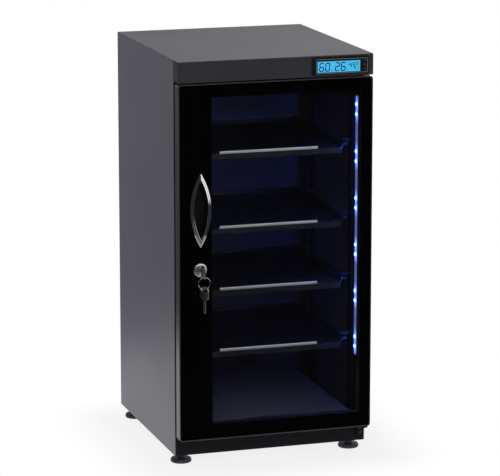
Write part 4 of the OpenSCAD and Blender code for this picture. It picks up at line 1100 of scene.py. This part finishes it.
class DisplayOperator(bpy.types.Operator):
    """Light the screen and draw its figures, the outline round it and the buttons"""
    bl_idname = "cabinet.display"
    bl_label = "Display"

    def execute(self, context):
        show = looks().display
        eased(finish("gloss black"), 0.35 * MM, "display_bezel")
        paint(glowing("Lit screen", tuple(show.light), 1.0, (0.02, 0.1, 0.14), 0.06, 40.0), "display_screen")
        paint(finish("circuit board"), "control_board")
        eased(finish("button rubber"), 0.5 * MM, "set_button", "up_button", "down_button")
        left = BEZEL[0].x + 12 * MM
        foot = (SCREEN[0].z + SCREEN[1].z) / 2 - show.figure / 2 - 0.6 * MM
        ink = (SCREEN[0].y - 0.22 * MM, SCREEN[0].y - 0.1 * MM)
        lines = []
        for text, start in ((show.humidity, 4.5), (show.warmth, 37)):
            more, at = figure_outlines(text, left + start * MM, foot, show.figure, show.stroke)
            lines += more + [dot(at + 1.2 * MM, foot, 1.0 * MM)]
        small = (show.figure * 0.56, show.stroke * 0.72)
        lines += figure_outlines(show.setting, left + 66 * MM, foot + 5.6 * MM, *small)[0]
        for x, row, wide in ((79.5, 2.2, 4.2), (85.2, 1.6, 1.8), (79.5, 5.2, 3.0), (85.2, 4.6, 1.8)):
            lines.append(round_mark(left + x * MM, foot + row * MM, wide * MM, 1.3 * MM))
        ring = [dot(left + 82.5 * MM, foot + 12.6 * MM, radius * MM, 24) for radius in (2.9, 1.9)]
        for name, mesh in (
            ("screen_figures", slabs("screen_figures", lines, ink)),
            ("screen_ring_mark", frame_plate("screen_ring_mark", *ring, ink)),
        ):
            piece(name, mesh, "cabinet", finish("screen ink"))
        x, z = (left - 2.6 * MM, BEZEL[1].x - 2.0 * MM), (SCREEN[0].z - 1.4 * MM, SCREEN[1].z + 3.6 * MM)
        line = 0.8 * MM
        outline = frame_plate(
            "bezel_outline", round_rect(x, z, 2.4 * MM),
            round_rect((x[0] + line, x[1] - line), (z[0] + line, z[1] - line), 1.6 * MM),
            (BEZEL[0].y - 0.1 * MM, BEZEL[0].y + 0.1 * MM),
        )
        piece("bezel_outline", outline, "cabinet", finish("grey print"))
        return {"FINISHED"}


class ShelvesOperator(bpy.types.Operator):
    """Finish the shelves and the bright trims on their fronts"""
    bl_idname = "cabinet.shelves"
    bl_label = "Shelves"

    def execute(self, context):
        for number in range(1, 5):
            eased(finish("shelf paint"), 0.55 * MM, f"shelf_{number}")
            eased(finish("drawn aluminium"), 0.25 * MM, f"shelf_trim_{number}")
        return {"FINISHED"}


class LampsOperator(bpy.types.Operator):
    """Make the lamps and finish their strip"""
    bl_idname = "cabinet.lamps"
    bl_label = "Lamps"

    def execute(self, context):
        lamps = looks().lamps
        low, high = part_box("lamps")
        middle, size = (low + high) / 2, high - low
        light = glowing("Lamp light", tuple(lamps.light), lamps.strength, (0.8, 0.85, 0.9), 0.02, 200.0)
        mesh = grown("lamp_lenses", lamp_tree(), {
            "Pairs": lamps.pairs, "Pair spacing": lamps.pitch, "Lamp spacing": lamps.gap,
            "Lamp size": (size.x * 0.7, size.y, size.y), "Lens radius": 2.4 * MM,
            "First pair": (middle.x + size.x * 0.15, middle.y, high.z - size.y / 2 - lamps.gap / 2),
            "Material": light,
        })
        piece("lamp_lenses", mesh, "cabinet", stands_for=("lamps",))
        eased(strip_with_painted_glow(), 0.3 * MM, "lamp_strip")
        return {"FINISHED"}


def coordinates(mesh):
    """A mesh's points as an array."""
    values = np.zeros(len(mesh.vertices) * 3)
    mesh.vertices.foreach_get("co", values)
    return values.reshape(-1, 3)


class PadOperator(bpy.types.Operator):
    """Make the foam pad on the cabinet floor"""
    bl_idname = "cabinet.pad"
    bl_label = "Foam pad"

    def execute(self, context):
        pad = looks().pad
        low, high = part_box("floor_pad")
        middle = (low + high) / 2
        shape = welded("floor_pad")
        for vert in shape.verts:
            for axis in range(3):
                half = (high[axis] - low[axis]) / 2
                vert.co[axis] = middle[axis] + (vert.co[axis] - middle[axis]) * (half - 0.8 * MM) / half
        host = linked("foam_source", kept(shape, bpy.data.meshes.new("foam_pad")))
        remesh = host.modifiers.new("Even faces", "REMESH")
        remesh.mode = "VOXEL"
        remesh.voxel_size = pad.grid
        even = evaluated(host, remesh)
        host.data = even
        start = coordinates(even)
        shift = self.swell(context, host, start) - start
        far = np.linalg.norm(shift, axis=1, keepdims=True)
        points = start + shift * np.minimum(1.0, pad.swell / np.maximum(far, 1e-9))
        points[:, 2] = np.clip(points[:, 2], low.z + 0.1 * MM, high.z)
        even.vertices.foreach_set("co", points.ravel())
        even.update()
        bpy.data.objects.remove(host)
        made = piece("foam_pad", shade(even, 60.0), "cabinet", finish("foam skin"), ("floor_pad",))
        smooth = made.modifiers.new("Round", "SUBSURF")
        smooth.levels = smooth.render_levels = 1
        return {"FINISHED"}

    def swell(self, context, host, start):
        """The points after the skin has been blown up a little by cloth simulation."""
        cloth = host.modifiers.new("Cloth", "CLOTH")
        settings = cloth.settings
        settings.quality = 5
        settings.use_pressure = True
        settings.uniform_pressure_force = 4.0
        settings.tension_stiffness = settings.compression_stiffness = 30.0
        settings.effector_weights.gravity = 0.0
        cloth.point_cache.frame_start, cloth.point_cache.frame_end = 1, CLOTH_FRAMES
        for number in range(1, CLOTH_FRAMES + 1):
            context.scene.frame_set(number)
        end = coordinates(evaluated(host, cloth))
        context.scene.frame_set(1)
        return end if end.shape == start.shape and np.isfinite(end).all() else start


class DryerOperator(bpy.types.Operator):
    """Finish the drying unit, its vents and the power inlet"""
    bl_idname = "cabinet.dryer"
    bl_label = "Drying unit"

    def execute(self, context):
        eased(finish("black moulding"), 0.5 * MM, "dryer_housing", "dryer_cover", "rear_vent", "power_inlet")
        eased(finish("flap plastic"), 0.3 * MM, "inner_flap", "outer_flap")
        paint(finish("zinc plate"), "heater_plate")
        eased(finish("drying pack paper"), 3 * MM, "drying_pack", segments=4)
        return {"FINISHED"}


class FeetOperator(bpy.types.Operator):
    """Make the four levelling feet"""
    bl_idname = "cabinet.feet"
    bl_label = "Feet"

    def execute(self, context):
        tree = turned_part_tree()
        for node in ("foot_front_left", "foot_front_right", "foot_rear_left", "foot_rear_right"):
            low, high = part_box(node)
            top = (high.z - low.z) / MM
            profile = [
                (0, 0), (18.6, 0), (19.8, 0.4), (20.4, 1.3), (20.4, 6.2), (20.1, 7.2), (19.2, 8.2),
                (17.4, 8.8), (12.0, 9.0), (10.4, 9.4), (9.3, 10.4), (8.6, 11.6), (8.6, 24.6), (8.2, 25.4),
                (4.8, 25.6),
                (4.8, top - 0.8), (4.0, top), (0, top),
            ]
            mesh = grown(node + "_turned", tree, {
                "Rib count": looks().fasteners.ribs, "Rib circle": 20.3 * MM, "Rib height": 3.9 * MM,
                "Rib size": (1.3 * MM, 1.5 * MM, 4.4 * MM), "Thread radius": 8.5 * MM,
                "Thread pitch": 1.75 * MM, "Thread turns": 6.5, "Thread depth": 0.5 * MM,
                "Thread start": 12.6 * MM, "Turn": (0, 0, 0),
                "Place": ((low.x + high.x) / 2, (low.y + high.y) / 2, low.z),
                "Material": finish("foot moulding"),
            }, start=turned(node + "_body", profile, 64))
            piece(node + "_turned", mesh, node, stands_for=(node,))
        return {"FINISHED"}


class ScrewsOperator(bpy.types.Operator):
    """Make the screws of the back, the vent and the lower hinge"""
    bl_idname = "cabinet.screws"
    bl_label = "Screws"

    def execute(self, context):
        values, places, facing = looks().fasteners, [], []
        for low, high in islands("case_screws"):
            middle, way = (low + high) / 2, 1.0 if low.y + high.y > 0 else -1.0
            seat = high.y - values.rise if way > 0 else low.y + values.rise
            places.append((middle.x, seat, middle.z))
            facing += [0.0, way, 0.0]
        start = bpy.data.meshes.new("screw_places")
        start.from_pydata(places, [], [])
        start.attributes.new("facing", "FLOAT_VECTOR", "POINT").data.foreach_set("vector", facing)
        mesh = grown("case_screw_heads", screw_tree(), {
            "Head diameter": values.head, "Head height": values.rise, "Recess width": values.cross,
            "Material": finish("black screw"),
        }, start=start)
        piece("case_screw_heads", mesh, "cabinet", stands_for=("case_screws",))
        return {"FINISHED"}


class StageOperator(bpy.types.Operator):
    """Set the floor, the soft light and the camera"""
    bl_idname = "cabinet.stage"
    bl_label = "Stage"

    def execute(self, context):
        stage, scene = looks().stage, context.scene
        scene.view_settings.view_transform = "Standard"
        self.floor(stage)
        self.world(stage, scene)
        self.lamp("Key lamp", (-0.7, -2.3, 2.3), (0, 0, 0.4), 1.6, stage.key_power)
        fill = self.lamp("Side fill", (-1.2, 0.8, 0.5), (-0.2, 0.1, 0.4), 0.6, stage.fill_power)
        fill.visible_glossy = False
        scene.camera = linked("Camera", bpy.data.cameras.new("Camera"))
        scene.camera.data.lens = stage.lens
        scene.camera.data.sensor_width = 36.0
        scene.camera.data.clip_end = 50.0
        scene.camera.location = CAMERA_PLACE
        scene.camera.rotation_euler = [math.radians(angle) for angle in CAMERA_TURN]
        return {"FINISHED"}

    def floor(self, stage):
        """A pale floor that fades into the white backdrop and keeps the shadow."""
        mesh = bpy.data.meshes.new("floor")
        x, y = (-FLOOR_REACH, FLOOR_REACH), (cad_box[0][1] - FLOOR_FRONT, FLOOR_REACH)
        corners = [(x[0], y[0], 0), (x[1], y[0], 0), (x[1], y[1], 0), (x[0], y[1], 0)]
        mesh.from_pydata(corners, [], [(0, 1, 2, 3)])
        made, tree, shader = new_material("Pale floor")
        set_inputs(tree, shader, {
            "Base Color": (*stage.floor, 1), "Roughness": 0.9, "Specular IOR Level": 0.1,
        })
        path = put(tree, "ShaderNodeLightPath").outputs
        seen = math_node(tree, "MAXIMUM", path["Is Camera Ray"], path["Is Glossy Ray"])
        seen = math_node(tree, "MAXIMUM", seen, path["Is Transmission Ray"])
        reach = vector_node(tree, "ABSOLUTE", object_place(tree))[0]
        reach = vector_node(tree, "SUBTRACT", reach, (0.2, 0.2, 0))[0]
        reach = vector_node(tree, "MAXIMUM", reach)[0]
        fade = ranged(tree, vector_node(tree, "LENGTH", reach)["Value"], 0.0, 0.18, stage.shadow, 1.0)
        white = put(tree, "ShaderNodeEmission", {"Color": (1, 1, 1, 1), "Strength": 1.0})
        share = math_node(tree, "MAXIMUM", times(tree, seen, fade), path["Is Glossy Ray"])
        mix = put(tree, "ShaderNodeMixShader", {0: share, 1: shader.outputs[0], 2: white.outputs[0]})
        tree.links.new(mix.outputs[0], tree.nodes["Material Output"].inputs["Surface"])
        mesh.materials.append(made)
        linked("floor", mesh)

    def world(self, stage, scene):
        """A white backdrop and even room light.

        Gloss mirrors a dark front and left, and a light right and rear.
        """
        world = scene.world = bpy.data.worlds.new("Studio")
        world.use_nodes = True
        tree = world.node_tree
        path = put(tree, "ShaderNodeLightPath").outputs
        way = put(tree, "ShaderNodeTexCoord").outputs["Generated"]
        x, y, z = put(tree, "ShaderNodeSeparateXYZ", {0: way}).outputs
        right, rear, above = (
            ranged(tree, value, low, high)
            for value, low, high in ((x, 0.1, 0.4), (y, 0.3, 0.8), (z, -0.16, -0.08))
        )
        rear = times(tree, rear, math_node(tree, "MULTIPLY_ADD", above, stage.rear * 0.8, stage.rear * 0.2))
        mirrored = math_node(tree, "MAXIMUM", times(tree, right, above), rear)
        mirrored = math_node(tree, "MAXIMUM", mirrored, stage.dark)
        bounces = math_node(tree, "ADD", path["Diffuse Depth"], path["Glossy Depth"])
        first = math_node(tree, "LESS_THAN", bounces, 0.5)
        through = times(tree, path["Is Transmission Ray"], first)
        plain = math_node(tree, "MAXIMUM", path["Is Camera Ray"], through)
        inside = ranged(tree, z, 0.0, 0.35, stage.inside * 0.03, stage.inside)
        room = mix_node(tree, path["Is Transmission Ray"], stage.ambient, inside)
        gloss = mix_node(tree, path["Is Glossy Ray"], room, mirrored)
        set_inputs(tree, tree.nodes["Background"], {
            "Strength": mix_node(tree, plain, gloss, 1.0), "Color": (1, 1, 1, 1),
        })

    def lamp(self, name, place, target, size, power):
        """A square soft lamp turned to a target."""
        data = bpy.data.lights.new(name, "AREA")
        data.shape = "SQUARE"
        data.size = size
        data.energy = power
        lamp = linked(name, data)
        lamp.location = place
        lamp.rotation_euler = (Vector(target) - Vector(place)).to_track_quat("-Z", "Y").to_euler()
        return lamp


class CabinetPanel(bpy.types.Panel):
    """Sizes and colours of the dry cabinet"""
    bl_idname = "VIEW3D_PT_cabinet"
    bl_label = "Dry cabinet"
    bl_space_type = "VIEW_3D"
    bl_region_type = "UI"
    bl_category = "Cabinet"

    def draw(self, context):
        values = context.scene.cabinet_looks
        for group, operators in PANEL_ROWS:
            box = self.layout.box()
            owner = getattr(values, group)
            for name in owner.__annotations__:
                box.prop(owner, name)
            for operator in operators:
                box.operator(operator.bl_idname)


PANEL_ROWS = (
    ("case", (CaseOperator, ShelvesOperator, DryerOperator)), ("door", (DoorOperator, SealOperator)),
    ("handle", (HandleOperator,)), ("keys", (LockOperator, KeysOperator)), ("display", (DisplayOperator,)),
    ("lamps", (LampsOperator,)), ("pad", (PadOperator,)), ("fasteners", (ScrewsOperator, FeetOperator)),
    ("stage", (StageOperator,)),
)
GROUP_CLASSES = (
    CasePaint, DoorLooks, HandleLooks, KeyLooks, DisplayLooks, LampLooks, PadLooks, FastenerLooks, StageLooks,
    CabinetLooks,
)
OPERATORS = (
    StageOperator, CaseOperator, DoorOperator, SealOperator, HandleOperator, LockOperator, KeysOperator,
    DisplayOperator, ShelvesOperator, LampsOperator, PadOperator, DryerOperator, FeetOperator, ScrewsOperator,
)


def register():
    for item in (*GROUP_CLASSES, *OPERATORS, CabinetPanel):
        bpy.utils.register_class(item)
    bpy.types.Scene.cabinet_looks = PointerProperty(type=CabinetLooks)


def unregister():
    del bpy.types.Scene.cabinet_looks
    for item in reversed((*GROUP_CLASSES, *OPERATORS, CabinetPanel)):
        bpy.utils.unregister_class(item)


def main():
    """Dresses the cabinet."""
    register()
    for operator in OPERATORS:
        group, name = operator.bl_idname.split(".")
        getattr(getattr(bpy.ops, group), name)()


if __name__ == "__main__":
    main()
